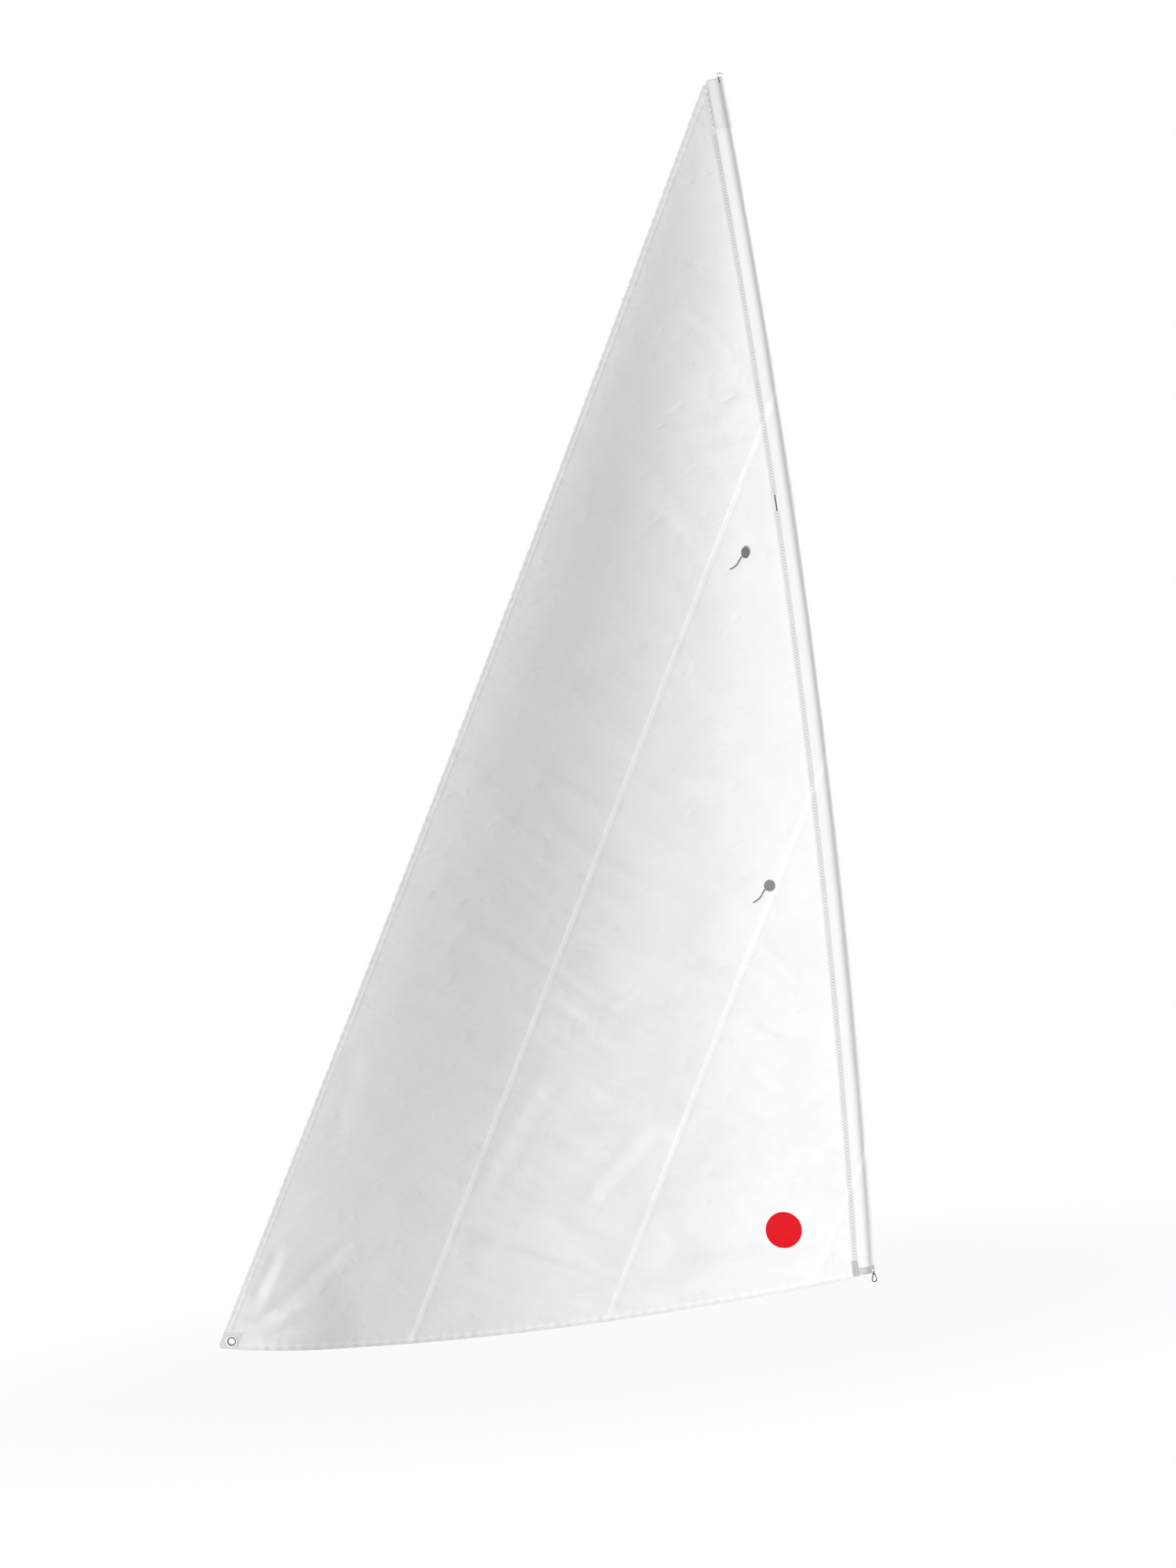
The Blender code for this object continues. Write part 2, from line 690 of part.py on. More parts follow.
def make_hook(collection, cutters, surfaces, eye):
    """The snap hook, its gate and the gate's rivet, modelled about the eye that turns on the lashing."""
    holder = bpy.data.objects.new("hook_axis", None)
    collection.objects.link(holder)
    holder.location = eye
    half = HOOK_WIDTH / 2.0 - HOOK_WIRE
    bend_z = -(HOOK_LENGTH - HOOK_EYE - HOOK_WIRE) + half + HOOK_WIRE
    pivot = (HOOK_EYE + GATE_PIVOT[0], GATE_PIVOT[1])
    nose = (half, bend_z + HOOK_NOSE_UP)
    outline = [(pivot[0] + PIVOT_INSET[0], pivot[1] + PIVOT_INSET[1])]
    outline += arc((0.0, 0.0), HOOK_EYE, -15.0, 195.0, 9)
    outline += arc((0.0, bend_z), half, 180.0, 360.0, 10) + [nose]
    body = wire_mesh(
        "hook_body", [(x, 0.0, z) for x, z in outline], HOOK_WIRE, collection, surfaces["hook"]
    )
    body.parent = holder

    gate_way = Vector((nose[0] - pivot[0], nose[1] + HOOK_WIRE * 0.3 - pivot[1]))
    length = gate_way.length - HOOK_WIRE * 0.3 - 2.0 * GAP
    angle = math.atan2(gate_way.x, -gate_way.y)
    inner = HOOK_WIRE + GAP
    rivet_reach = HOOK_WIRE * 0.9
    shape = bmesh.new()
    bmesh.ops.create_cube(shape, size=1.0)
    bmesh.ops.scale(
        shape, vec=(2.0 * rivet_reach, 2.0 * (inner + GATE_CHEEK), length + rivet_reach), verts=shape.verts
    )
    bmesh.ops.translate(shape, vec=(0.0, 0.0, -(length - rivet_reach) / 2.0), verts=shape.verts)
    gate = link_mesh("hook_gate", shape, collection, surfaces["gate"])
    gate.parent = holder
    gate.location = (pivot[0], 0.0, pivot[1])
    gate.rotation_euler = (0.0, -angle, 0.0)

    shape = bmesh.new()
    bmesh.ops.create_cube(shape, size=1.0)
    bmesh.ops.scale(shape, vec=(GATE_SLOT[0], 2.0 * inner, GATE_SLOT[1]), verts=shape.verts)
    bmesh.ops.translate(shape, vec=(0.0, 0.0, GATE_SLOT[1] / 2.0 - GATE_SLOT_LOW), verts=shape.verts)
    slot = as_cutter(link_mesh("gate_slot", shape, cutters, None))
    slot.parent = gate
    cut(gate, slot)

    length = 2.0 * (inner + GATE_CHEEK + RIVET_PROUD)
    centre = (pivot[0], 0.0, pivot[1])
    bore = cylinder("rivet_bore", RIVET_RADIUS + GAP, 2.0 * length, centre, (0, 1, 0), cutters)
    as_cutter(bore).parent = holder
    cut(gate, bore)
    cut(body, bore)
    rivet = cylinder("hook_rivet", RIVET_RADIUS, length, centre, (0, 1, 0), collection, surfaces["rivet"], 12)
    rivet.parent = holder


def make_head(collection, surfaces):
    lid_top = LUFF_LENGTH + CAP_TOP_GAP + CLOTH / 2.0 + GAP
    radius = LOOP_HEIGHT / 2.0 - LOOP_BAND / 2.0
    straight = LOOP_LENGTH / 2.0 - LOOP_HEIGHT / 2.0
    centre_z = lid_top + LOOP_HEIGHT / 2.0
    line = bpy.data.curves.new("head_loop", "CURVE")
    line.dimensions = "2D"
    line.fill_mode = "BOTH"
    line.extrude = LOOP_BREADTH / 2.0
    for reach in (radius + LOOP_BAND / 2.0, radius - LOOP_BAND / 2.0):
        points = arc((straight, 0.0), reach, -90.0, 90.0, 10) + arc((-straight, 0.0), reach, 90.0, 270.0, 10)
        spline = line.splines.new("POLY")
        spline.points.add(len(points) - 1)
        spline.use_cyclic_u = True
        for point, place in zip(spline.points, points):
            point.co = (*place, 0.0, 1.0)
    loop = bpy.data.objects.new("head_loop", line)
    line.materials.append(surfaces["webbing"])
    collection.objects.link(loop)
    loop.location = (LOOP_X, 0.0, centre_z)
    loop.rotation_euler = (math.pi / 2.0, 0.0, 0.0)
    shape = bmesh.new()
    bmesh.ops.create_cube(shape, size=1.0)
    bmesh.ops.scale(shape, vec=(BAR_TACK[0], LOOP_BREADTH * 0.9, BAR_TACK[1]), verts=shape.verts)
    bar = link_mesh("head_bar_tack", shape, collection, surfaces["thread"])
    bar.location = (LOOP_X, 0.0, lid_top + LOOP_BAND + GAP + BAR_TACK[1] / 2.0)


def cloth_faces(panels):
    """The panels' outer faces as one tree, for whatever is stuck on them."""
    graph = bpy.context.evaluated_depsgraph_get()
    points, faces = [], []
    for panel in panels:
        evaluated = panel.evaluated_get(graph)
        mesh = evaluated.to_mesh()
        start = len(points)
        points += [vertex.co.copy() for vertex in mesh.vertices]
        faces += [[start + index for index in face.vertices] for face in mesh.polygons]
        evaluated.to_mesh_clear()
    return BVHTree.FromPolygons(points, faces)


def face_y(tree, x, z, side):
    """Where the cloth's face is at this place, seen from the -Y side (1) or the +Y side (-1)."""
    hit = tree.ray_cast(Vector((x, -side * 2.0, z)), Vector((0.0, side, 0.0)))[0]
    return hit.y


def cloth_lift(tree, x, z, side, reach=LIFT_REACH):
    """How far the cloth's face stands off the smooth sail around this place."""
    lift = 0.0
    for shift_x in (-reach, 0.0, reach):
        for shift_z in (-reach, 0.0, reach):
            near_x, near_z = x + shift_x, z + shift_z
            lift = max(lift, side * (depth(near_x, near_z) - face_y(tree, near_x, near_z, side)))
    return lift


def sticker(name, centre, halves, side, tree, collection, surface, turn=0.0):
    """A thin oval disc laid on the cloth."""
    shape = bmesh.new()
    rings, segments = 3, 28
    middle = shape.verts.new((0.0, 0.0, 0.0))
    loops = []
    for ring in range(1, rings + 1):
        loop = []
        for segment in range(segments):
            angle = 2.0 * math.pi * segment / segments
            x = halves[0] * math.cos(angle) * ring / rings
            z = halves[1] * math.sin(angle) * ring / rings
            loop.append(shape.verts.new((x * math.cos(turn) - z * math.sin(turn), 0.0,
                                         x * math.sin(turn) + z * math.cos(turn))))
        loops.append(loop)
    for index in range(segments):
        following = (index + 1) % segments
        shape.faces.new((middle, loops[0][following], loops[0][index]))
        for inner, outer in zip(loops, loops[1:]):
            shape.faces.new((inner[index], inner[following], outer[following], outer[index]))
    for vertex in shape.verts:
        x, z = centre[0] + vertex.co.x, centre[1] + vertex.co.z
        lift = cloth_lift(tree, x, z, side) + STICKER_GAP + STICKER / 2.0
        vertex.co = (x, depth(x, z) - side * lift, z)
    bmesh.ops.recalc_face_normals(shape, faces=shape.faces)
    made = link_mesh(name, shape, collection, surface)
    solidify = made.modifiers.new("film", "SOLIDIFY")
    solidify.thickness = STICKER
    solidify.offset = 0.0
    return made


YARN_RUNS = {
    "upper": ((-0.0135, -0.0095), (-0.0262, -0.0254), (-0.0338, -0.0356), (-0.0425, -0.0429),
              (-0.0544, -0.0488), (-0.0639, -0.0534)),
    "lower": ((-0.0190, -0.0116), (-0.0270, -0.0201), (-0.0342, -0.0318), (-0.0435, -0.0412),
              (-0.0532, -0.0475), (-0.0679, -0.0545)),
}
YARN_LIFT = (0.0, 0.0008, 0.0018, 0.0026, 0.0030, 0.0030)


def smooth_run(points, count):
    """Points spaced along a smooth curve through the given ones."""
    run = []
    pieces = len(points) - 1
    for number in range(count):
        place = number / (count - 1) * pieces
        index = min(int(place), pieces - 1)
        t = place - index
        p0 = points[max(index - 1, 0)]
        p1, p2 = points[index], points[index + 1]
        p3 = points[min(index + 2, pieces)]
        run.append(0.5 * ((2.0 * p1) + (p2 - p0) * t + (2.0 * p0 - 5.0 * p1 + 4.0 * p2 - p3) * t * t
                          + (3.0 * p1 - p0 - 3.0 * p2 + p3) * t**3))
    return run


def make_telltales(collection, tree, surfaces):
    for level, centre, halves in (
        ("upper", UPPER_DISC, UPPER_DISC_HALVES),
        ("lower", LOWER_DISC, LOWER_DISC_HALVES),
    ):
        for face, side in (("front", 1.0), ("back", -1.0)):
            name = f"telltale_{level}_{face}"
            sticker(name + "_disc", centre, halves, side, tree, collection, surfaces["disc"])
            lift = YARN_RADIUS + GAP
            way = Vector(YARN_RUNS[level][0]).normalized()
            edge = 1.0 / math.hypot(way.x / halves[0], way.y / halves[1])
            route = [tuple(way * (edge + YARN_START_GAP))] + list(YARN_RUNS[level][1:])
            points = []
            for (x, z), rise in zip(route, YARN_LIFT):
                place_x, place_z = centre[0] + x, centre[1] + z
                cloth_y = depth(place_x, place_z) - side * cloth_lift(tree, place_x, place_z, side)
                points.append(Vector((place_x, cloth_y - side * (lift + rise), place_z)))
            start = points[0].copy()
            run = [place - start for place in smooth_run(points, 16)]
            yarn = wire_mesh(
                name + "_yarn", run, YARN_RADIUS, collection, surfaces["yarn"], start_share=YARN_START_SHARE
            )
            yarn.location = start


def own_materials(collection):
    """Gives each piece a material of its own, so that one piece can be changed alone."""
    for made in collection.objects:
        if made.type != "EMPTY":
            shared = made.data.materials[0]
            made.data.materials[0] = shared.copy()
            made.data.materials[0].name = f"{made.name}_{shared.name}"


def main():
    for existing in list(bpy.data.objects):
        bpy.data.objects.remove(existing)
    collection = new_collection("dinghy_sail")
    cutters = new_collection("cutters")
    white = (0.90, 0.91, 0.91)
    cloths = [material(f"sailcloth_{name}", white, 0.55) for name in ("leech", "second", "third", "tack")]
    surfaces = {
        "patch": material("patch_cloth", (0.88, 0.89, 0.89), 0.6),
        "corner": material("corner_cloth", (0.62, 0.63, 0.64), 0.6),
        "webbing": material("grey_webbing", (0.42, 0.43, 0.44), 0.8),
        "cord": material("black_cord", (0.02, 0.02, 0.02), 0.7),
        "thread": material("dark_thread", (0.03, 0.03, 0.035), 0.7),
        "hook": material("hook_plastic", (0.03, 0.03, 0.03), 0.45),
        "gate": material("gate_plastic", (0.05, 0.05, 0.05), 0.45),
        "rivet": material("rivet_steel", (0.6, 0.6, 0.6), 0.35, 1.0),
        "disc": material("telltale_film", (0.10, 0.10, 0.11), 0.5),
        "yarn": material("yarn_wool", (0.05, 0.05, 0.06), 0.9),
    }
    sleeve_cloth = material("sleeve_cloth", white, 0.55)
    cap_cloth = material("cap_cloth", (0.80, 0.81, 0.82), 0.6)
    tape_cloth = material("tape_cloth", (0.86, 0.87, 0.87), 0.6)
    eyelet_metal = material("eyelet_metal", (0.30, 0.30, 0.31), 0.4, 1.0)
    centre = (EYELET_X, 0.0, EYELET_Z)
    eyelet_cutter = as_cutter(
        cylinder("eyelet_hole", EYELET_BARREL + GAP, EYELET_CUTTER, centre, (0, 1, 0), cutters, segments=40)
    )
    panels = make_panels(collection, cloths, eyelet_cutter)
    make_sleeve(collection, sleeve_cloth, cap_cloth)
    make_tapes(collection, tape_cloth)
    make_reinforcements(collection, surfaces, eyelet_cutter)
    make_eyelet(collection, eyelet_metal)
    make_tack(collection, cutters, surfaces)
    make_head(collection, surfaces)
    bpy.context.view_layer.update()
    tree = cloth_faces(panels)
    make_telltales(collection, tree, surfaces)
    disc_red = material("class_disc_red", (0.62, 0.07, 0.07), 0.5)
    halves = (CLASS_DISC_RADIUS, CLASS_DISC_RADIUS)
    sticker("class_disc", CLASS_DISC, halves, 1.0, tree, collection, disc_red)
    own_materials(collection)


if __name__ == "__main__":
    main()
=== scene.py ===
import math

import bpy
import numpy as np
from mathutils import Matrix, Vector


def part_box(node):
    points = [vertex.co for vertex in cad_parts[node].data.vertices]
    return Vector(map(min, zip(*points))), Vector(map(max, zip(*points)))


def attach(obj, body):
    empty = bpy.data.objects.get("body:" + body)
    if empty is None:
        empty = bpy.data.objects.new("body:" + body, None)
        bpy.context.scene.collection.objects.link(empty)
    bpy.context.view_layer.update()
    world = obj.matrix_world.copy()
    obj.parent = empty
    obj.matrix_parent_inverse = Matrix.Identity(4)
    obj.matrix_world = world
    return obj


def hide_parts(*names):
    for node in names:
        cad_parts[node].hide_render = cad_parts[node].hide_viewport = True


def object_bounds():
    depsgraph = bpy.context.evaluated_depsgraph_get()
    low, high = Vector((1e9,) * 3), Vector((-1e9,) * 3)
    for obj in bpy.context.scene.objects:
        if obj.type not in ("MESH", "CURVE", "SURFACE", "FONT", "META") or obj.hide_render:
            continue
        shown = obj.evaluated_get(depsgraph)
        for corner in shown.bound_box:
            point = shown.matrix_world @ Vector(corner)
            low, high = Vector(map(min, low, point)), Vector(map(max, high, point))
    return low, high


bl_info = {
    "name": "Dinghy sail",
    "version": (1, 0, 0),
    "blender": (4, 5, 0),
    "location": "View3D > Sidebar > Sail",
    "description": "Builds the cloth, stitching and fittings of a small dinghy's sail over its solid model",
    "category": "Object",
}

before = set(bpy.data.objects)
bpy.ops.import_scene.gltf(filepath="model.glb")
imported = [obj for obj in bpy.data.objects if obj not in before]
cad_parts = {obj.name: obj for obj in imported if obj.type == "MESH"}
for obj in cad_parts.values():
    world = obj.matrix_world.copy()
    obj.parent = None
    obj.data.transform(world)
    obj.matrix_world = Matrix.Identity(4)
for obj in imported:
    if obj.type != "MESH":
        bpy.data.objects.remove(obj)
CAD_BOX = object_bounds()

# Outline of the sail, the same as the solid model's
LUFF_LENGTH = 4.348
LUFF_ROUND = 0.070
HEAD_HEIGHT = 4.335
HEAD_AFT = 0.052
CLEW_AFT = 2.384
LEECH_HOLLOW = 0.016
LEECH_GATHER = 0.037
FOOT_CLEW = (0.043 - CLEW_AFT, -0.007)
FOOT_TACK = (-0.032, -0.0376)
FOOT_ROUND = 0.082
FOOT_ROUND_SHIFT = 0.12
DRAFT = 0.088
DRAFT_FORWARD = 0.3
DRAFT_AT_FOOT = 0.7
LEECH_TWIST = 0.030
AFT_FULLNESS = 0.0225
AFT_START = 0.3
CLEW_FLAT = 0.08
CLEW_FADE = 0.40
LAYER = 0.0007
CLOTH = 0.0006
PANEL_PITCH = 0.27118 * CLEW_AFT
SEAM_LAP = 0.018
LAP_STEP = 0.006
SEAMS = [PANEL_PITCH * number for number in (1, 2, 3)]
TAPE_WIDTH = 0.024
SLEEVE_RADIUS = 0.0238
FLAPS_MEET = 0.036
PANEL_LUFF = 0.038
FLAP_AFT = 0.060
LEECH_CLEAR = 0.004
SLEEVE_BREAK = 2.80
SLEEVE_TOP = 4.334
CAP_LOWER_END = 4.166
EYELET = (0.054 - CLEW_AFT, 0.020)
EYELET_BARREL = 0.0140
CORNER_CAP = 0.066
SMALL_PATCH = 0.20
LARGE_PATCH = 0.33
CLEW_CORNER_RADIUS = 0.020
CAP_TOP = 4.3496
CAP_CLEARANCE = 0.0015
CAP_ROUNDING = 0.010

# Tack, head and telltales, the same as the solid model's
STRAP_WIDTH = 0.027
STRAP_THICKNESS = 0.0015
STRAP_AFT, STRAP_FORWARD = -0.056, 0.0205
STRAP_TOP_AFT, STRAP_TOP_FORWARD = -0.0060, 0.0030
STRAP_HOLE = 0.0045
STRAP_HOLE_X, STRAP_HOLE_Z = 0.0150, -0.0165
REINFORCEMENT_AFT, REINFORCEMENT_FORWARD = -0.0600, -0.0395
REINFORCEMENT_LOW, REINFORCEMENT_HIGH = -0.0340, 0.0220
LASHING_CENTRE = (0.015, -0.02505, -0.0252)
LASHING_RING = 0.0060
LASHING_CORD = 0.0015
LOOP_LENGTH, LOOP_HEIGHT = 0.022, 0.021
LOOP_X = 0.0115
LOOP_BAND = 0.0030
LOOP_BREADTH = 0.010
UPPER_DISC = (-0.1128, 2.631)
UPPER_DISC_HALVES = (0.0150, 0.0205)
LOWER_DISC = (-0.1774, 1.413)
LOWER_DISC_HALVES = (0.0205, 0.0210)
CLASS_DISC = (-0.2858, 0.1586)
CLASS_DISC_RADIUS = 0.0655
YARN_RADIUS = 0.0015
YARN_START_GAP = 0.0008
SOLID_CLOTH = 0.0008
SOLID_GAP = 0.0003

CHORD_LOW = np.array([-CLEW_AFT, 0.0])
CHORD = np.array([-HEAD_AFT, HEAD_HEIGHT]) - CHORD_LOW
CHORD_ALONG = CHORD / np.hypot(*CHORD)
CHORD_ACROSS = np.array([CHORD_ALONG[1], -CHORD_ALONG[0]])


def color_property(name, description, value):
    return bpy.props.FloatVectorProperty(name=name, description=description, subtype="COLOR", size=3,
                                         min=0.0, max=1.0, default=value)


def length_property(name, description, low, high, value):
    return bpy.props.FloatProperty(name=name, description=description, unit="LENGTH",
                                   min=low, max=high, default=value)


class SailLooks(bpy.types.PropertyGroup):
    """Sizes and colours of the dressed sail."""

    cloth_color: color_property("Sailcloth", "Colour of the white sailcloth", (0.90, 0.90, 0.90))
    tape_color: color_property("Tape", "Colour of the tapes along leech and foot", (0.94, 0.94, 0.94))
    webbing_color: color_property("Webbing", "Colour of the grey webbing at the tack", (0.68, 0.68, 0.69))
    thread_color: color_property("Thread", "Colour of the sleeve's sewing thread", (0.36, 0.36, 0.37))
    disc_color: color_property("Class patch", "Colour of the round patch near the tack", (0.78, 0.004, 0.012))
    telltale_color: color_property("Telltale", "Colour of the upper telltales' discs", (0.035, 0.036, 0.04))
    mesh_step: length_property("Mesh step", "Spacing of the cloth's mesh", 0.005, 0.05, 0.012)
    crumple: length_property("Crumple", "Height of the cloth's crumpled facets", 0.0, 0.01, 0.00095)
    stitch_pitch: length_property("Stitch pitch", "Length of one zigzag on the sleeve", 0.004, 0.05, 0.0228)
    thread_radius: length_property("Thread radius", "Radius of the sewing thread", 0.0001, 0.002, 0.0006)


def looks():
    return bpy.context.scene.sail_looks


def smoothstep(value):
    value = np.clip(value, 0.0, 1.0)
    return value * value * (3.0 - 2.0 * value)


def luff_x(z):
    share = z / LUFF_LENGTH
    return LUFF_ROUND * 4.0 * share * (1.0 - share)


def leech_hollow(z):
    return LEECH_HOLLOW * np.sin(np.pi * np.clip(z / HEAD_HEIGHT, 0.0, 1.0))


def leech_x(z):
    return CHORD_LOW[0] + z / HEAD_HEIGHT * (CLEW_AFT - HEAD_AFT) + leech_hollow(z)


def foot_z(x):
    (start_x, start_z), (end_x, end_z) = FOOT_CLEW, FOOT_TACK
    share = (x - start_x) / (end_x - start_x)
    sag = FOOT_ROUND * 4.0 * share * (1.0 - share) * (1.0 + FOOT_ROUND_SHIFT * (1.0 - 2.0 * share))
    return start_z + share * (end_z - start_z) - sag


def depth(x, z):
    """The smooth sail's belly toward +Y."""
    height = np.clip(z / LUFF_LENGTH, 0.0, 1.0)
    chord = np.maximum(luff_x(z) - leech_x(z), 0.02)
    share = np.clip((luff_x(z) - x) / chord, 0.0, 1.0)
    forward = np.sin(np.pi * share) + DRAFT_FORWARD * np.sin(2.0 * np.pi * share)
    lower = DRAFT_AT_FOOT + (1.0 - DRAFT_AT_FOOT) * smoothstep(height / 0.3)
    aft = np.sin(np.pi * np.maximum(share - AFT_START, 0.0) / (1.0 - AFT_START)) ** 2
    shape = DRAFT * lower * forward + AFT_FULLNESS * aft
    flat = smoothstep((np.hypot(x - EYELET[0], z - EYELET[1]) - CLEW_FLAT) / CLEW_FADE)
    twist = LEECH_TWIST * np.sin(np.pi * height) * share * share
    return ((1.0 - height**5) * chord * shape + twist) * flat


def lattice_random(column, row, salt):
    """A repeatable number from 0 to 1 for each place of a lattice."""
    mixed = np.sin(column * 127.1 + row * 311.7 + salt * 74.7) * 43758.5453
    return mixed - np.floor(mixed)


def crumpled_facets(x, z, cell, salt):
    """Height of a sheet crumpled into facets that rise or sink from the creases between them."""
    column, row = np.floor(x / cell), np.floor(z / cell)
    nearest = np.full(np.shape(x), 9.0)
    second = np.full(np.shape(x), 9.0)
    way = np.ones(np.shape(x))
    for shift_x in (-1, 0, 1):
        for shift_z in (-1, 0, 1):
            near_c, near_r = column + shift_x, row + shift_z
            seed_x = near_c + lattice_random(near_c, near_r, salt)
            seed_z = near_r + lattice_random(near_c, near_r, salt + 5.0)
            away = np.hypot(x / cell - seed_x, z / cell - seed_z)
            second = np.minimum(second, np.maximum(nearest, away))
            facet = 2.0 * lattice_random(near_c, near_r, salt + 9.0) - 1.0
            way = np.where(away < nearest, facet, way)
            nearest = np.minimum(nearest, away)
    return way * np.clip(second - nearest, 0.0, 1.0)


# Long creases that the photo shows, as start, end, width and height in metres
CREASES = (
    ((-0.36, 0.99), (0.00, 0.74), 0.016, 0.0030),
    ((-0.41, 0.78), (0.02, 0.50), 0.016, 0.0028),
    ((-0.43, 0.87), (-0.28, 0.79), 0.014, 0.0022),
    ((-0.22, 1.25), (-0.04, 1.02), 0.016, 0.0026),
    ((-0.45, 0.65), (0.02, 0.43), 0.014, 0.0022),
    ((-2.28, 0.07), (-1.97, 0.17), 0.020, 0.0040),
    ((-2.25, 0.03), (-1.96, 0.03), 0.018, 0.0035),
    ((-2.25, 0.12), (-2.10, 0.36), 0.018, 0.0035),
    ((-2.26, 0.05), (-1.80, 0.36), 0.022, 0.0030),
    ((-0.09, 3.02), (0.02, 2.93), 0.012, 0.0020),
    ((-0.07, 2.97), (0.02, 2.89), 0.012, 0.0018),
    ((-0.02, 1.77), (0.04, 1.70), 0.012, 0.0020),
    ((-0.07, 1.70), (0.03, 1.60), 0.012, 0.0020),
    ((-1.90, 0.62), (-1.72, 1.05), 0.026, 0.0012),
    ((-1.45, 0.35), (-1.00, 0.95), 0.030, 0.0024),
    ((-1.05, 0.30), (-0.70, 0.62), 0.026, 0.0022),
)


def soft_noise(a, b, salt):
    """Smooth bumps from -1 to 1 over a lattice of unit cells."""
    column, row = np.floor(a), np.floor(b)
    s, t = smoothstep(a - column), smoothstep(b - row)
    total = 0.0
    for far_a, share_a in ((0.0, 1.0 - s), (1.0, s)):
        for far_b, share_b in ((0.0, 1.0 - t), (1.0, t)):
            total = total + share_a * share_b * lattice_random(column + far_a, row + far_b, salt)
    return 2.0 * total - 1.0


def streaks(x, z):
    """Long soft wrinkles that run down toward the luff, flatter near the foot."""
    height = 0.0
    share = (luff_x(z) - x) / np.maximum(luff_x(z) - leech_x(z), 0.05)
    stronger = 0.7 + 1.5 * smoothstep((0.74 - share) / 0.30) * smoothstep((share - 0.03) / 0.10)
    for degrees, centre, tall in STREAKS:
        turn = math.radians(degrees)
        along, off = x * math.cos(turn) - z * math.sin(turn), x * math.sin(turn) + z * math.cos(turn)
        bend = 0.04 * np.sin(along * 5.0 + off * 3.0)
        near = np.exp(-(((z - centre) / 0.95) ** 2))
        rough = soft_noise(along / 0.36, (off + bend) / 0.085, degrees)
        rough = rough + 0.5 * soft_noise(along / 0.17, (off + bend) / 0.036, degrees + 3.0)
        height = height + tall * near * rough
    return height * stronger


# Wrinkles: degrees below level, the height up the sail where they lie, and how tall they stand
STREAKS = ((14.0, 0.2, 0.0032), (33.0, 1.5, 0.0024), (52.0, 3.3, 0.0015))


def crease_heights(x, z):
    height = np.zeros(np.shape(x))
    for (x0, z0), (x1, z1), width, tall in CREASES:
        way = np.array([x1 - x0, z1 - z0])
        length = np.hypot(*way)
        along = ((x - x0) * way[0] + (z - z0) * way[1]) / length**2
        off = ((x - x0) * way[1] - (z - z0) * way[0]) / length
        ends = smoothstep(along / 0.3) * smoothstep((1.0 - along) / 0.3)
        trough = 0.6 * np.exp(-(((off - 2.2 * width) / width) ** 2))
        height += tall * ends * (np.exp(-((off / width) ** 2)) - trough)
    return height


def puckers(x, z):
    """Small gathers where the cloth is sewn: along the leech, the foot, the seams and the sleeve."""
    across = across_of(x, z)
    along = (x - CHORD_LOW[0]) * CHORD_ALONG[0] + (z - CHORD_LOW[1]) * CHORD_ALONG[1]
    from_leech = np.maximum(x - leech_x(z), 0.0)
    wander = np.sin(along * 23.0) + np.sin(along * 9.1 + 1.3)
    near = np.exp(-((from_leech / 0.045) ** 2))
    gather = 0.0011 * np.sin(along * 2.0 * np.pi / LEECH_GATHER + wander) * near
    from_foot = np.maximum(z - foot_z(x), 0.0)
    gather += 0.0010 * np.sin(x * 2.0 * np.pi / 0.043 + wander) * np.exp(-((from_foot / 0.040) ** 2))
    for seam in SEAMS:
        near = np.exp(-(((across - seam) / 0.030) ** 2))
        gather += 0.0005 * np.sin(along * 2.0 * np.pi / 0.045 + 2.0 * wander) * near
    from_luff = np.maximum(luff_x(z) - x, 0.0)
    near = np.exp(-(((from_luff - 0.055) / 0.030) ** 2))
    return gather + 0.0006 * np.sin(z * 2.0 * np.pi / 0.040 + 1.5 * np.sin(z * 7.0)) * near


def cloth_y(x, z):
    """The real cloth: the smooth sail with its crumples, creases and puckers."""
    calm = smoothstep((np.hypot(x - EYELET[0], z - EYELET[1]) - 0.045) / 0.08)
    for disc_x, disc_z in (UPPER_DISC, LOWER_DISC):
        away = np.hypot(x - disc_x + 0.03, z - disc_z + 0.025)
        calm = calm * (0.12 + 0.88 * smoothstep((away - 0.055) / 0.05))
    calm = calm * smoothstep((LUFF_LENGTH - z) / 0.10)
    calm = calm * smoothstep((luff_x(z) - x - 0.030) / 0.03)
    crumple = looks().crumple
    rough = crumple * crumpled_facets(x + 0.3 * z, z, 0.120, 1.0)
    rough = rough + 0.55 * crumple * crumpled_facets(x - 0.2 * z, z + 0.2 * x, 0.055, 2.0)
    return depth(x, z) + calm * (rough + streaks(x, z) + crease_heights(x, z) + puckers(x, z))


def on_sail(x, z, layer):
    return np.stack([x, cloth_y(x, z) - layer * LAYER, z], axis=-1)


def in_column(across, along):
    x = CHORD_LOW[0] + across * CHORD_ACROSS[0] + along * CHORD_ALONG[0]
    z = CHORD_LOW[1] + across * CHORD_ACROSS[1] + along * CHORD_ALONG[1]
    return x + leech_hollow(z) * np.clip(1.0 - across / PANEL_PITCH, 0.0, 1.0), z


def across_of(x, z):
    return (x - CHORD_LOW[0]) * CHORD_ACROSS[0] + (z - CHORD_LOW[1]) * CHORD_ACROSS[1]


def lap_rise(across):
    """1 where two cloths lap, fading to 0 over the step beside them."""
    rise = np.zeros(np.shape(across))
    for seam in SEAMS:
        rise = np.maximum(rise, 1.0 - smoothstep((np.abs(across - seam) - SEAM_LAP / 2.0) / LAP_STEP))
    return rise


def bisected(across, low, high, past):
    low, high = np.full(np.shape(across), low), np.full(np.shape(across), high)
    for _ in range(40):
        middle = 0.5 * (low + high)
        is_past = past(*in_column(across, middle))
        high, low = np.where(is_past, middle, high), np.where(is_past, low, middle)
    return 0.5 * (low + high)


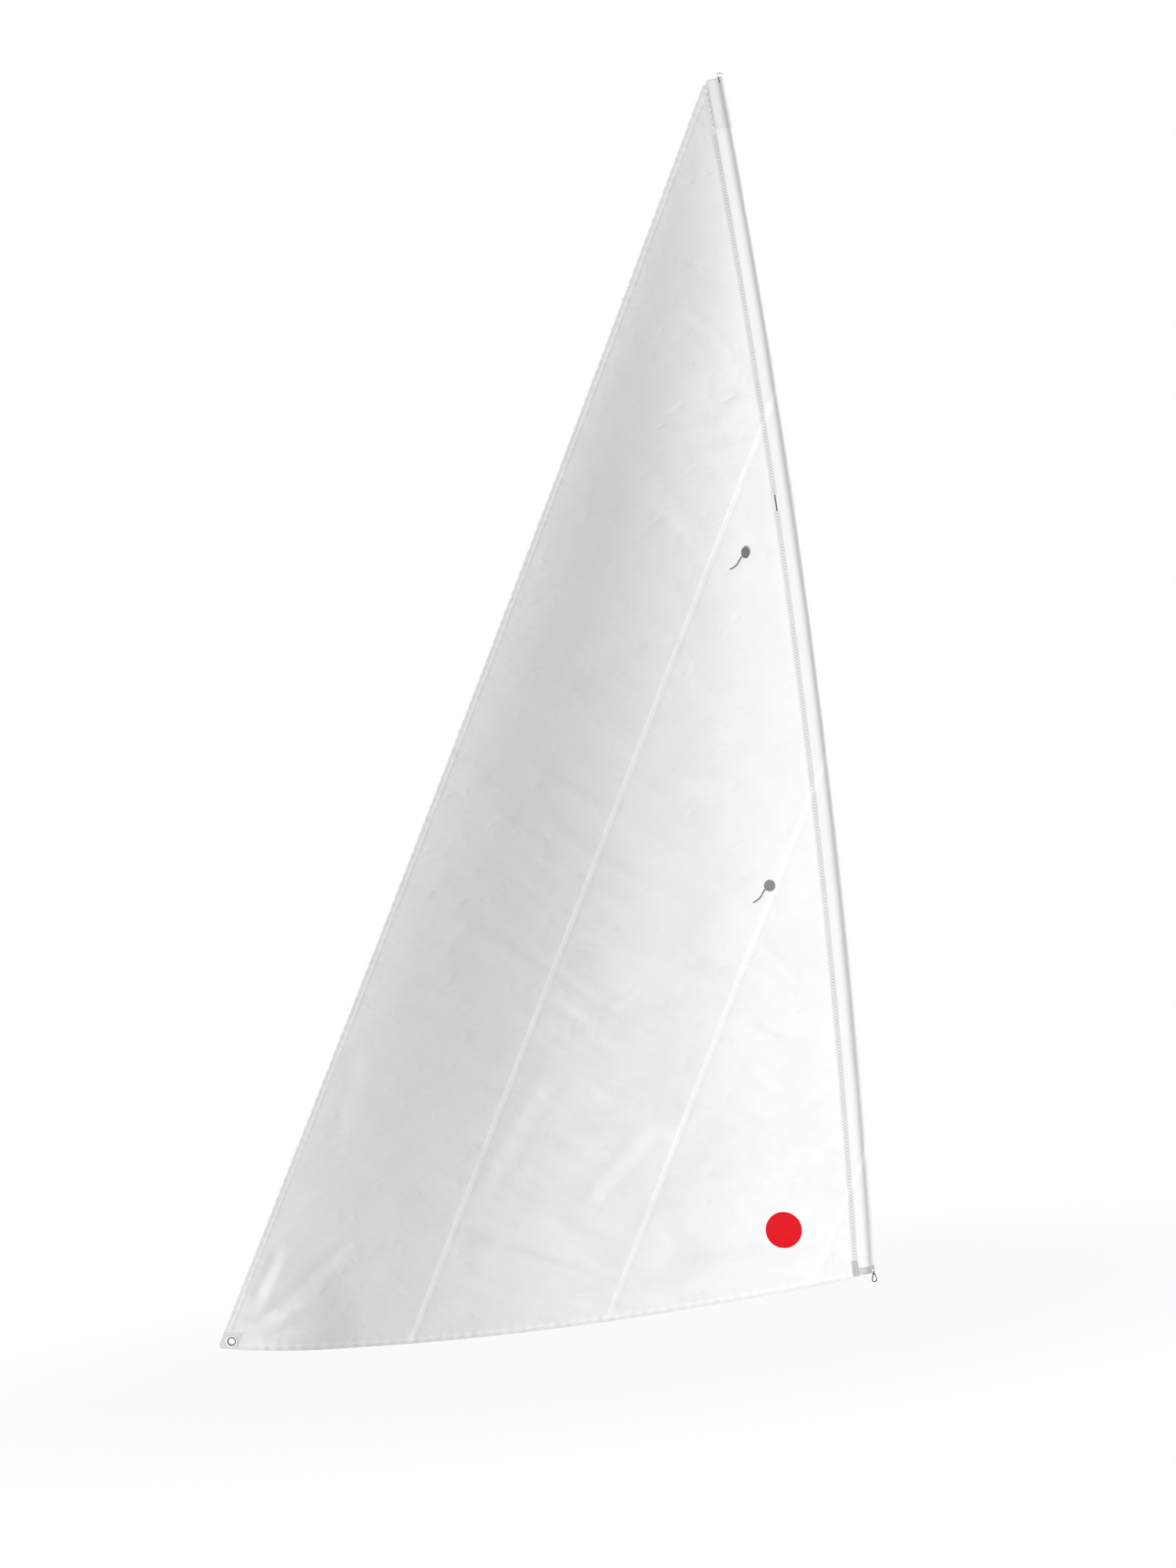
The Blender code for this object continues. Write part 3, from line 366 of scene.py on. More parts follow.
def column_ends(across):
    """Where each column leaves the foot and where it meets the luff or the head."""
    start = bisected(across, -0.3, 3.0, lambda x, z: z > foot_z(x))
    end = bisected(across, -0.3, 6.0, lambda x, z: (x > luff_x(z) - PANEL_LUFF) | (z > HEAD_HEIGHT))
    return start, np.maximum(end, start)


def tack_across():
    tries = np.linspace(SEAMS[2], SEAMS[2] + 0.3, 601)
    start, end = column_ends(tries)
    return float(tries[np.argmax(end - start < 1e-4)])


TACK_ACROSS = tack_across()
LONGEST = 4.93


def rows_up(step):
    """Distances up the longest column: close together at the foot, then even."""
    close = np.arange(0.0, 0.030, 0.004)
    even = np.linspace(close[-1], LONGEST, int(LONGEST / step))[1:]
    return np.concatenate([close, even])


def rounded_corner(across, up):
    """Draws the clew's square corner in to its round one."""
    radius = CLEW_CORNER_RADIUS
    from_a, from_b = np.maximum(radius - across, 0.0), np.maximum(radius - up, 0.0)
    reach = np.hypot(from_a, from_b)
    share = np.where(reach > 1e-9, np.maximum(from_a, from_b) / np.maximum(reach, 1e-9), 1.0)
    inside = (across < radius) & (up < radius)
    new_across = np.where(inside, radius - from_a * share, across)
    return new_across, np.where(inside, radius - from_b * share, up)


def grid_place(across, up):
    """The place of one crossing of columns and distances above the foot."""
    across, up = rounded_corner(across, up)
    start = column_ends(across)[0]
    x, z = in_column(across, start + up)
    return x, z, start + up


def fresh_mesh(name, vertices, faces, uvs=None):
    """A smooth mesh object with sharp rims, and with UVs in metres where they are given per corner."""
    mesh = bpy.data.meshes.new(name)
    mesh.from_pydata([tuple(place) for place in vertices], [], [tuple(face) for face in faces])
    if uvs is not None:
        layer = mesh.uv_layers.new(name="UVMap")
        corner = np.empty(len(mesh.loops), np.int32)
        mesh.loops.foreach_get("vertex_index", corner)
        layer.data.foreach_set("uv", np.asarray(uvs, np.float32)[corner].ravel())
    mesh.validate()
    made = bpy.data.objects.new(name, mesh)
    bpy.context.scene.collection.objects.link(made)
    select_only(made)
    bpy.ops.object.shade_smooth()
    edge = np.empty(len(mesh.loops), np.int32)
    mesh.loops.foreach_get("edge_index", edge)
    rim = np.bincount(edge, minlength=len(mesh.edges)) == 1
    sharp = mesh.attributes.get("sharp_edge") or mesh.attributes.new("sharp_edge", "BOOLEAN", "EDGE")
    sharp.data.foreach_set("value", rim)
    return made


def select_only(*objects):
    bpy.ops.object.select_all(action="DESELECT")
    for one in objects:
        one.select_set(True)
    bpy.context.view_layer.objects.active = objects[0]


def faced_outward(made, merge=None):
    """Turns a piece's faces outward, once corners nearer than merge are joined."""
    select_only(made)
    bpy.ops.object.mode_set(mode="EDIT")
    bpy.ops.mesh.select_all(action="SELECT")
    if merge is not None:
        bpy.ops.mesh.remove_doubles(threshold=merge)
    bpy.ops.mesh.normals_make_consistent(inside=False)
    bpy.ops.object.mode_set(mode="OBJECT")
    return made


def grid_faces(rows, columns, ringed=False, looped=False, first=0):
    """Quads between a grid's points, stored row by row, with each row a ring and the rows a loop if asked."""
    faces = []
    for row in range(rows - 1 + looped):
        low, high = first + row * columns, first + (row + 1) % rows * columns
        for column in range(columns - 1 + ringed):
            right = (column + 1) % columns
            faces.append((low + column, low + right, high + right, high + column))
    return faces


def facing_front(vertices, faces):
    """Turns every face so that it points toward -Y, the camera's side."""
    turned = []
    for face in faces:
        a, b, c = (vertices[index] for index in face[:3])
        across = (b[2] - a[2]) * (c[0] - a[0]) - (b[0] - a[0]) * (c[2] - a[2])
        turned.append(tuple(face) if across < 0.0 else tuple(reversed(face)))
    return turned


def thickened(made, thickness):
    """Gives a sheet its thickness on both sides of its middle."""
    select_only(made)
    bpy.ops.object.modifier_add(type="SOLIDIFY")
    solidify = made.modifiers[-1]
    solidify.thickness = thickness
    solidify.offset = 0.0
    bpy.ops.object.modifier_apply(modifier=solidify.name)
    return made


def dress(made, body, surface, slot, *nodes):
    """Gives a finished piece its finish, its body and the nodes it stands for."""
    made.data.materials.clear()
    made.data.materials.append(surface)
    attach(made, body)
    if nodes:
        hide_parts(*nodes)
    return made


def cloth_piece(name, across, up, layer, keep=None):
    """A piece of cloth over a grid of columns and distances above the foot, less the faces not to keep."""
    columns, rows = across.shape
    x, z, along = grid_place(across, up)
    level = layer(across) if callable(layer) else np.full(across.shape, float(layer))
    points = on_sail(x, z, level).reshape(-1, 3)
    faces = grid_faces(columns, rows)
    if keep is not None:
        middle_a, middle_u = across.ravel(), up.ravel()
        faces = [face for face in faces
                 if keep(np.mean(middle_a[list(face)]), np.mean(middle_u[list(face)]))]
        used = sorted({index for face in faces for index in face})
        place = {index: number for number, index in enumerate(used)}
        faces = [tuple(place[index] for index in face) for face in faces]
        points, across, along = points[used], across.ravel()[used], along.ravel()[used]
    uvs = np.stack([across.ravel(), along.ravel()], axis=-1)
    return thickened(fresh_mesh(name, points, facing_front(points, faces), uvs), CLOTH)


def column_grid(columns, step):
    """Columns and, for each, its distances above the foot up to its end."""
    start, end = column_ends(columns)
    up = (end - start)[:, None] * (rows_up(step) / LONGEST)[None, :]
    return np.repeat(columns[:, None], up.shape[1], axis=1), up


def ladder(columns, low, high, count):
    """The same number of places up each column, from its low end to its high one."""
    low, high = (np.broadcast_to(end, columns.shape)[:, None] for end in (low, high))
    across = np.repeat(columns[:, None], count, axis=1)
    return across, low + (high - low) * np.linspace(0.0, 1.0, count)[None, :]


def bored(made, centre, radius):
    """Cuts a round hole through the cloth along Y."""
    bpy.ops.object.select_all(action="DESELECT")
    bpy.ops.mesh.primitive_cylinder_add(
        vertices=48, radius=radius, depth=0.08, location=centre, rotation=(math.pi / 2.0, 0.0, 0.0)
    )
    cutter = bpy.context.object
    select_only(made)
    bpy.ops.object.modifier_add(type="BOOLEAN")
    hole = made.modifiers[-1]
    hole.operation = "DIFFERENCE"
    hole.object = cutter
    bpy.ops.object.modifier_apply(modifier=hole.name)
    bpy.data.objects.remove(cutter)
    return made


def tone_of_laps(made):
    """Marks where cloth lies double, so that its material can show it."""
    count = len(made.data.vertices)
    places = np.empty(count * 3)
    made.data.vertices.foreach_get("co", places)
    x, z = places.reshape(-1, 3)[:, 0], places.reshape(-1, 3)[:, 2]
    across = across_of(x, z)
    double = np.max([np.abs(across - seam) < SEAM_LAP / 2.0 + 0.0005 for seam in SEAMS], axis=0)
    attribute = made.data.attributes.new("doubled", "FLOAT", "POINT")
    attribute.data.foreach_set("value", double.astype(np.float32))


def tube(points, radius, normal=(0.0, -1.0, 0.0), sides=4, closed=False):
    """Corners and faces of a thin tube along the points."""
    line = np.asarray(points, float)
    if closed:
        way = np.roll(line, -1, axis=0) - np.roll(line, 1, axis=0)
    else:
        way = np.gradient(line, axis=0)
    way /= np.maximum(np.linalg.norm(way, axis=1, keepdims=True), 1e-12)
    side = np.cross(way, np.asarray(normal, float))
    side /= np.maximum(np.linalg.norm(side, axis=1, keepdims=True), 1e-12)
    up = np.cross(side, way)
    angles = 2.0 * math.pi * (np.arange(sides) + 0.5) / sides
    radii = np.broadcast_to(np.asarray(radius, float), (len(line),))[:, None, None]
    ring = np.cos(angles)[None, :, None] * side[:, None, :] + np.sin(angles)[None, :, None] * up[:, None, :]
    vertices = (line[:, None, :] + radii * ring).reshape(-1, 3)
    count = len(line)
    faces = grid_faces(count, sides, True, closed)
    if not closed:
        faces.append(tuple(range(sides - 1, -1, -1)))
        faces.append(tuple(range((count - 1) * sides, count * sides)))
    return vertices, faces


def tubes_mesh(name, runs, radius, sides=4):
    """One mesh of many thin tubes, each along its own points."""
    vertices, faces, start = [], [], 0
    for run in runs:
        places, quads = tube(run, radius, sides=sides)
        vertices.append(places)
        faces += [tuple(start + index for index in face) for face in quads]
        start += len(places)
    return faced_outward(fresh_mesh(name, np.concatenate(vertices), faces))


def zigzag(start, end, pitch, width):
    """Distances along and across of a zigzag seam."""
    count = max(2, int(round((end - start) / (pitch / 2.0))))
    along = np.linspace(start, end, count + 1)
    return along, width / 2.0 * np.where(np.arange(count + 1) % 2 == 0, 1.0, -1.0)


def refined(values, times=3):
    """The same run with points between, so that it can follow the cloth."""
    places = np.linspace(0.0, len(values) - 1.0, (len(values) - 1) * times + 1)
    return np.interp(places, np.arange(len(values)), values)


def sewn(x, z, front_level, back_level, radius):
    """The thread's two faces: a run just proud of the cloth in front and one behind."""
    out = CLOTH / 2.0 + 0.35 * radius
    front = on_sail(x, z, front_level) + np.array([0.0, -out, 0.0])
    back = on_sail(x, z, back_level) + np.array([0.0, out, 0.0])
    return [front, back]


def feed(tree, node, values):
    """Links sockets to a node's inputs, or sets the inputs to plain values."""
    for name, value in values.items():
        if isinstance(value, bpy.types.NodeSocket):
            tree.links.new(value, node.inputs[name])
        else:
            node.inputs[name].default_value = value


def add(tree, kind, links=None, **values):
    """A shader node with its settings, its sockets' values and the links that feed it."""
    made = tree.nodes.new(kind)
    for name, value in values.items():
        setattr(made, name, value)
    feed(tree, made, links or {})
    return made


def new_group(name, inputs, outputs):
    """An empty shader node group with its sockets and its two end nodes."""
    tree = bpy.data.node_groups.new(name, "ShaderNodeTree")
    for label, kind, value in inputs:
        made = tree.interface.new_socket(name=label, in_out="INPUT", socket_type=kind)
        if value is not None:
            made.default_value = value
    for label in outputs:
        tree.interface.new_socket(name=label, in_out="OUTPUT", socket_type="NodeSocketFloat")
    return tree, tree.nodes.new("NodeGroupInput").outputs, tree.nodes.new("NodeGroupOutput")


def maths(tree, operation, first, second=0.0, third=0.0):
    return add(tree, "ShaderNodeMath", {0: first, 1: second, 2: third}, operation=operation).outputs[0]


def vectors(tree, operation, first, *second):
    """One step of vector maths: a vector, or a number where it measures a length."""
    made = add(tree, "ShaderNodeVectorMath", dict(enumerate((first, *second))), operation=operation)
    return made.outputs["Value" if operation == "LENGTH" else "Vector"]


def ranged(tree, value, start=0.0, end=1.0, low=0.0, high=1.0, **how):
    """The value carried over from one range to another and kept within it."""
    return add(tree, "ShaderNodeMapRange", {"Value": value, "From Min": start, "From Max": end,
                                            "To Min": low, "To Max": high}, **how).outputs[0]


def noise(tree, where, scale, detail, roughness=0.5):
    return add(tree, "ShaderNodeTexNoise", {"Vector": where, "Scale": scale, "Detail": detail,
                                            "Roughness": roughness}).outputs[0]


def mixed(tree, share, first, second):
    return add(tree, "ShaderNodeMix", {0: share, 6: first, 7: second}, data_type="RGBA").outputs[2]


def bumped(tree, height, distance, strength=1.0, below=None):
    links = {"Height": height, "Distance": distance, "Strength": strength}
    if below is not None:
        links["Normal"] = below
    return add(tree, "ShaderNodeBump", links).outputs[0]


def flat_reach(tree, vector):
    """How far a vector reaches in X and Z."""
    return vectors(tree, "LENGTH", vectors(tree, "MULTIPLY", vector, (1.0, 0.0, 1.0)))


def object_place(tree):
    return add(tree, "ShaderNodeTexCoord").outputs["Object"]


def own_uv(tree):
    return add(tree, "ShaderNodeUVMap", uv_map="UVMap").outputs[0]


def crinkle_group(name):
    """Fine creases of a resin-stiffened cloth that has been stuffed into its bag."""
    tree, start, end = new_group(
        name,
        [("Vector", "NodeSocketVector", None), ("Coarse", "NodeSocketFloat", 9.0),
         ("Fine", "NodeSocketFloat", 36.0), ("Fine share", "NodeSocketFloat", 0.45)],
        ["Height", "Crease"],
    )
    turned = add(tree, "ShaderNodeMapping", {"Vector": start["Vector"], "Rotation": (0.0, -0.6, 0.0),
                                             "Scale": (0.55, 1.0, 1.0)}).outputs[0]
    coarse, fine = (
        add(tree, "ShaderNodeTexNoise", {"Vector": turned, "Scale": start[scale], "Detail": 3.0,
                                         "Roughness": 0.55, "Distortion": 0.3},
            noise_type="RIDGED_MULTIFRACTAL").outputs[0]
        for scale in ("Coarse", "Fine")
    )
    both = maths(tree, "MULTIPLY_ADD", fine, start["Fine share"], coarse)
    tree.links.new(both, end.inputs["Height"])
    # Crease: the fine crease lines, which the sailcloth uses for painted shade
    tree.links.new(ranged(tree, fine, 0.9, 1.6), end.inputs["Crease"])
    return tree


def weave_group(name):
    """Plain weave: threads over and under one another, in the cloth's own UV directions."""
    tree, start, end = new_group(
        name,
        [("Vector", "NodeSocketVector", None), ("Threads per metre", "NodeSocketFloat", 2400.0)],
        ["Height"],
    )
    parts = add(tree, "ShaderNodeSeparateXYZ", {0: start["Vector"]}).outputs
    pitch = maths(tree, "MULTIPLY", start["Threads per metre"], math.pi)
    warp, weft = (maths(tree, "SINE", maths(tree, "MULTIPLY", parts[axis], pitch)) for axis in ("X", "Y"))
    tree.links.new(maths(tree, "MULTIPLY", warp, weft), end.inputs["Height"])
    return tree


def wear_group(name):
    """Soft patches of handling marks: a mask from 0 to 1."""
    tree, start, end = new_group(
        name, [("Vector", "NodeSocketVector", None), ("Size", "NodeSocketFloat", 3.0)], ["Mask"],
    )
    cloud = noise(tree, start["Vector"], start["Size"], 6.0, 0.65)
    tree.links.new(ranged(tree, cloud, 0.38, 0.68), end.inputs["Mask"])
    return tree


def show_through_group(name):
    """Mask of an oval that lies behind the cloth, in Object coordinates, for painted shade as if it showed
    through the cloth.
    """
    tree, start, end = new_group(
        name,
        [("Vector", "NodeSocketVector", None), ("Centre", "NodeSocketVector", (0.0, 0.0, 0.0)),
         ("Halves", "NodeSocketVector", (0.02, 1.0, 0.02)), ("Softness", "NodeSocketFloat", 0.06)],
        ["Mask"],
    )
    off = vectors(tree, "SUBTRACT", start["Vector"], start["Centre"])
    reach = flat_reach(tree, vectors(tree, "DIVIDE", off, start["Halves"]))
    soft = maths(tree, "DIVIDE", maths(tree, "SUBTRACT", 1.0, reach), start["Softness"])
    tree.links.new(add(tree, "ShaderNodeClamp", {"Value": soft}).outputs[0], end.inputs["Mask"])
    return tree


GROUP_MAKERS = {
    "Crinkled cloth": crinkle_group,
    "Plain weave": weave_group,
    "Handling marks": wear_group,
    "Oval behind cloth": show_through_group,
}


def placed(tree, name, links):
    """The outputs of a shared group, which is made when it is first asked for."""
    group = bpy.data.node_groups.get(name) or GROUP_MAKERS[name](name)
    return add(tree, "ShaderNodeGroup", links, node_tree=group).outputs


def started(name):
    """A new material with its tree and its shader."""
    made = bpy.data.materials.new(name)
    made.use_nodes = True
    return made, made.node_tree, made.node_tree.nodes["Principled BSDF"]


def made_once(maker):
    """Keeps one material of each name."""
    def found_or_made(name, *values, **named):
        return bpy.data.materials.get(name) or maker(name, *values, **named)

    return found_or_made


def opaque(color, factor=1.0):
    return tuple(channel * factor for channel in color) + (1.0,)


def slit_shade(tree, where):
    """1 where the sleeve's slit looks into the dark under its flap."""
    lean = float(luff_x(SLIT_Z + 0.03) - luff_x(SLIT_Z - 0.03)) / 0.06
    middle = (float(luff_x(SLIT_Z)) - SLIT_AFT, 0.0, SLIT_Z)
    parts = add(tree, "ShaderNodeSeparateXYZ", {0: vectors(tree, "SUBTRACT", where, middle)}).outputs
    aside = maths(tree, "ABSOLUTE", maths(tree, "MULTIPLY_ADD", parts[2], -lean, parts[0]))
    inside = maths(tree, "LESS_THAN", aside, SLIT_BREADTH / 2.0 + 0.001)
    along = maths(tree, "LESS_THAN", maths(tree, "ABSOLUTE", parts[2]), SLIT_LENGTH / 2.0)
    return maths(tree, "MULTIPLY", inside, along)


def fold_shade(tree, uv):
    """1 on the outer part of a folded tape, which lies across its UV: the mask for painted shade on the fold.
    """
    across = add(tree, "ShaderNodeSeparateXYZ", {0: uv}).outputs[0]
    return maths(tree, "MULTIPLY", ranged(tree, across, 0.009, 0.013), ranged(tree, across, 0.061, 0.057))


# Painted shade of the discs on the far side, as if seen through the cloth: centre, halves and how strongly
# they show
PAINTED_SHOW_THROUGH = (
    ((UPPER_DISC[0] + 0.0056, 0.0, UPPER_DISC[1] + 0.0062), UPPER_DISC_HALVES, 0.62),
    ((LOWER_DISC[0] + 0.0010, 0.0, LOWER_DISC[1] + 0.0030), LOWER_DISC_HALVES, 0.35),
)


@made_once
def cloth_material(name, color, roughness=0.52, crease=0.0048, doubled=1.09, paints_shade_marks=False,
                   folded=False):
    """White resin-finished sailcloth: crinkles, weave, faint marks, a tone where it lies double and painted
    shade along its fine creases; where asked, painted shade on a tape's fold, inside the sleeve's slit and
    where the far-side discs would show through.
    """
    made, tree, shader = started(name)
    uv, where = own_uv(tree), object_place(tree)
    crinkle = placed(tree, "Crinkled cloth", {"Vector": where})
    weave = placed(tree, "Plain weave", {"Vector": uv})[0]
    marks = placed(tree, "Handling marks", {"Vector": where})[0]
    lap = add(tree, "ShaderNodeAttribute", attribute_name="doubled").outputs["Fac"]
    tint = mixed(tree, maths(tree, "MULTIPLY", marks, 0.5), opaque(color), opaque(color, 0.965))
    tint = mixed(tree, lap, tint, opaque(color, doubled))
    # Painted shade: a little darker along the fine crease lines
    tint = mixed(tree, maths(tree, "MULTIPLY", crinkle["Crease"], 0.10), tint, opaque(color, 0.90))
    # Painted shade on the outer part of a tape's fold
    if folded:
        tint = mixed(tree, fold_shade(tree, uv), tint, opaque(color, 0.90))
    if paints_shade_marks:
        # Painted shade where the sleeve's slit looks into the dark under its flap
        tint = mixed(tree, slit_shade(tree, where), tint, (0.07, 0.07, 0.07, 1.0))
        # Painted shade of the far-side discs, as if they showed through the cloth
        for centre, (half_x, half_z), strength in PAINTED_SHOW_THROUGH:
            behind = placed(tree, "Oval behind cloth",
                            {"Vector": where, "Centre": centre, "Halves": (half_x, 1.0, half_z)})[0]
            tint = mixed(tree, maths(tree, "MULTIPLY", behind, strength), tint, (0.10, 0.10, 0.11, 1.0))
    creased = bumped(tree, crinkle["Height"], crease)
    feed(tree, shader, {
        "Base Color": tint,
        "Roughness": ranged(tree, marks, low=roughness - 0.05, high=roughness + 0.10),
        "Specular IOR Level": 0.35,
        "Normal": bumped(tree, weave, 0.00005, 0.6, creased),
    })
    return made


@made_once
def webbing_material(name, color, ribs=900.0):
    """Woven polyester webbing with ribs across it, with painted shade in the weave's hollows and a painted
    highlight on its tops.
    """
    made, tree, shader = started(name)
    weave = placed(tree, "Plain weave", {"Vector": own_uv(tree), "Threads per metre": ribs})[0]
    marks = placed(tree, "Handling marks", {"Vector": object_place(tree), "Size": 60.0})[0]
    # The weave's height, which also sets painted shade in its hollows and a painted highlight on its tops
    high = maths(tree, "MULTIPLY_ADD", weave, 0.5, 0.5)
    tone = mixed(tree, high, opaque(color, 0.80), opaque(color, 1.12))
    feed(tree, shader, {
        "Base Color": mixed(tree, maths(tree, "MULTIPLY", marks, 0.35), tone, opaque(color, 0.8)),
        "Roughness": 0.72,
        "Sheen Weight": 0.15,
        "Normal": bumped(tree, weave, 0.00030),
    })
    return made


@made_once
def thread_material(name, color):
    """Twisted sewing thread: fine strands, a little uneven in tone."""
    made, tree, shader = started(name)
    strands = noise(tree, object_place(tree), 900.0, 2.0)
    feed(tree, shader, {
        "Base Color": mixed(tree, strands, opaque(color, 0.82), opaque(color, 1.1)),
        "Roughness": 0.65,
        "Normal": bumped(tree, strands, 0.0002),
    })
    return made


@made_once
def cord_material(name, color, pitch=220.0):
    """Laid or braided cord: a slanting pattern along its UV, with painted shade in its grooves and a painted
    highlight on its strands.
    """
    made, tree, shader = started(name)
    parts = add(tree, "ShaderNodeSeparateXYZ", {0: own_uv(tree)}).outputs
    slant = maths(tree, "MULTIPLY_ADD", parts[1], pitch * 2.0 * math.pi,
                  maths(tree, "MULTIPLY", parts[0], 4.0 * math.pi))
    twist = maths(tree, "MULTIPLY_ADD", maths(tree, "SINE", slant), 0.5, 0.5)
    fuzz = noise(tree, object_place(tree), 1500.0, 3.0)
    # Height of the strands, which also sets painted shade in the grooves and a painted highlight on the
    # strands
    height = maths(tree, "MULTIPLY_ADD", fuzz, 0.5, twist)
    feed(tree, shader, {
        "Base Color": mixed(tree, height, opaque(color, 0.65), opaque(color, 1.5)),
        "Roughness": 0.85,
        "Sheen Weight": 0.2,
        "Normal": bumped(tree, height, 0.0003),
    })
    return made


@made_once
def film_material(name, color, roughness=0.42, shine=0.5):
    """Adhesive film or insignia cloth: smooth, with faint bubbles and scuffs."""
    made, tree, shader = started(name)
    where = object_place(tree)
    marks = placed(tree, "Handling marks", {"Vector": where, "Size": 45.0})[0]
    crinkle = placed(tree, "Crinkled cloth", {"Vector": where, "Coarse": 60.0})
    feed(tree, shader, {
        "Base Color": mixed(tree, marks, opaque(color, 0.9), opaque(color, 1.1)),
        "Specular IOR Level": shine,
        "Roughness": ranged(tree, marks, low=roughness - 0.06, high=roughness + 0.12),
        "Normal": bumped(tree, crinkle["Height"], 0.0004),
    })
    return made


@made_once
def metal_material(name, color, roughness=0.38, highlight_rim_from=None):
    """Dulled metal with fine pits and rubbed spots, and a painted highlight: paler metal outside a radius
    round the eyelet.
    """
    made, tree, shader = started(name)
    where = object_place(tree)
    pits = noise(tree, where, 350.0, 4.0)
    marks = placed(tree, "Handling marks", {"Vector": where, "Size": 120.0})[0]
    tone = mixed(tree, marks, opaque(color, 0.7), opaque(color, 1.15))
    if highlight_rim_from is not None:
        reach = flat_reach(tree, vectors(tree, "SUBTRACT", where, (EYELET[0], 0.0, EYELET[1])))
        # Painted highlight: the eyelet's outer rim in paler metal
        tone = mixed(tree, ranged(tree, reach, highlight_rim_from - 0.0008, highlight_rim_from + 0.0008), tone, RIM_HIGHLIGHT_COLOR)
    feed(tree, shader, {
        "Base Color": tone,
        "Metallic": 1.0,
        "Roughness": ranged(tree, pits, low=roughness - 0.1, high=roughness + 0.15),
        "Normal": bumped(tree, pits, 0.0001),
    })
    return made


@made_once
def plastic_material(name, color, roughness=0.42):
    """Moulded black plastic with a faint grain and scuffed spots."""
    made, tree, shader = started(name)
    where = object_place(tree)
    grain = noise(tree, where, 1400.0, 3.0)
    marks = placed(tree, "Handling marks", {"Vector": where, "Size": 150.0})[0]
    feed(tree, shader, {
        "Base Color": mixed(tree, marks, opaque(color), opaque(color, 2.2)),
        "Roughness": ranged(tree, marks, low=roughness - 0.05, high=roughness + 0.2),
        "Normal": bumped(tree, grain, 0.0001),
    })
    return made


def sail_white():
    return cloth_material("Sailcloth white", looks().cloth_color, paints_shade_marks=True)


def tape_white():
    # The tape's fold gets painted shade
    return cloth_material("Edge tape", looks().tape_color, 0.58, 0.0012, folded=True)


def dark_thread():
    return thread_material("Dark thread", (0.05, 0.05, 0.055))


def white_to_the_eye(tree, usual, white, share=1.0):
    """The white shader for the camera and reflections, and the usual one for all other rays."""
    ray = add(tree, "ShaderNodeLightPath").outputs
    mirrored = maths(tree, "MAXIMUM", ray["Is Glossy Ray"], ray["Is Transmission Ray"])
    seen = maths(tree, "MULTIPLY", maths(tree, "MAXIMUM", ray["Is Camera Ray"], mirrored), share)
    return add(tree, "ShaderNodeMixShader", {0: seen, 1: usual.outputs[0], 2: white.outputs[0]}).outputs[0]


class SAIL_OT_stage(bpy.types.Operator):
    """Set the camera, the lamps and the pale floor"""

    bl_idname = "sail.stage"
    bl_label = "Stage"

    def execute(self, context):
        sight = bpy.data.cameras.new("Camera")
        sight.sensor_fit = "VERTICAL"
        sight.sensor_height = SENSOR_HEIGHT
        sight.lens = SENSOR_HEIGHT * CAMERA_AWAY / VIEW_HEIGHT
        sight.clip_end = 200.0
        camera = bpy.data.objects.new("Camera", sight)
        context.scene.collection.objects.link(camera)
        camera.location = (VIEW_CENTRE[0], -CAMERA_AWAY, VIEW_CENTRE[1])
        camera.rotation_euler = (math.pi / 2.0, PHOTO_TURN, 0.0)
        context.scene.camera = camera
        for name, side, height, strength, spread in LAMPS:
            lamp = bpy.data.lights.new(name, "SUN")
            lamp.energy = strength
            lamp.angle = math.radians(spread)
            made = bpy.data.objects.new(name, lamp)
            context.scene.collection.objects.link(made)
            toward = Vector((math.sin(math.radians(side)), -math.cos(math.radians(side)),
                             math.tan(math.radians(height))))
            made.rotation_euler = toward.to_track_quat("Z", "Y").to_euler()
        self.make_world(context)
        self.make_floor()
        context.scene.view_settings.view_transform = "Standard"
        return {"FINISHED"}

    def make_world(self, context):
        world = bpy.data.worlds.new("Pale studio")
        world.use_nodes = True
        tree = world.node_tree
        tree.nodes.clear()
        way = add(tree, "ShaderNodeSeparateXYZ", {0: add(tree, "ShaderNodeTexCoord").outputs["Generated"]})
        level = ranged(tree, way.outputs[1], -0.3, 0.6, FRONT_FILL, BACK_FILL)
        fill = add(tree, "ShaderNodeBackground", {"Color": WHITE, "Strength": level})
        white = add(tree, "ShaderNodeBackground", {"Color": WHITE, "Strength": 1.0})
        add(tree, "ShaderNodeOutputWorld", {"Surface": white_to_the_eye(tree, fill, white)})
        context.scene.world = world

    def make_floor(self):
        bpy.ops.object.select_all(action="DESELECT")
        bpy.ops.mesh.primitive_plane_add(size=FLOOR_SIZE, location=(0.0, 0.0, CAD_BOX[0][2] - 0.002))
        floor = bpy.context.object
        floor.name = "Floor"
        made, tree, shader = started("Pale floor")
        where = object_place(tree)
        marks = placed(tree, "Handling marks", {"Vector": where, "Size": 2.0})[0]
        reach = vectors(tree, "LENGTH", vectors(tree, "ADD", where, (0.9, 0.0, 0.0)))
        beyond = ranged(tree, reach, 1.2, 3.5, interpolation_type="SMOOTHSTEP")
        pale = mixed(tree, marks, opaque((0.50, 0.50, 0.50)), opaque((0.54, 0.54, 0.54)))
        far = opaque((0.10, 0.10, 0.10))
        feed(tree, shader, {"Base Color": mixed(tree, beyond, pale, far), "Roughness": 0.9})
        white = add(tree, "ShaderNodeEmission", {"Color": WHITE, "Strength": 1.0})
        fade = ranged(tree, reach, 0.8, 3.6, 0.93, 1.0, interpolation_type="SMOOTHSTEP")
        out = next(node for node in tree.nodes if node.type == "OUTPUT_MATERIAL")
        tree.links.new(white_to_the_eye(tree, shader, white, fade), out.inputs["Surface"])
        floor.data.materials.append(made)


WHITE = (1.0, 1.0, 1.0, 1.0)
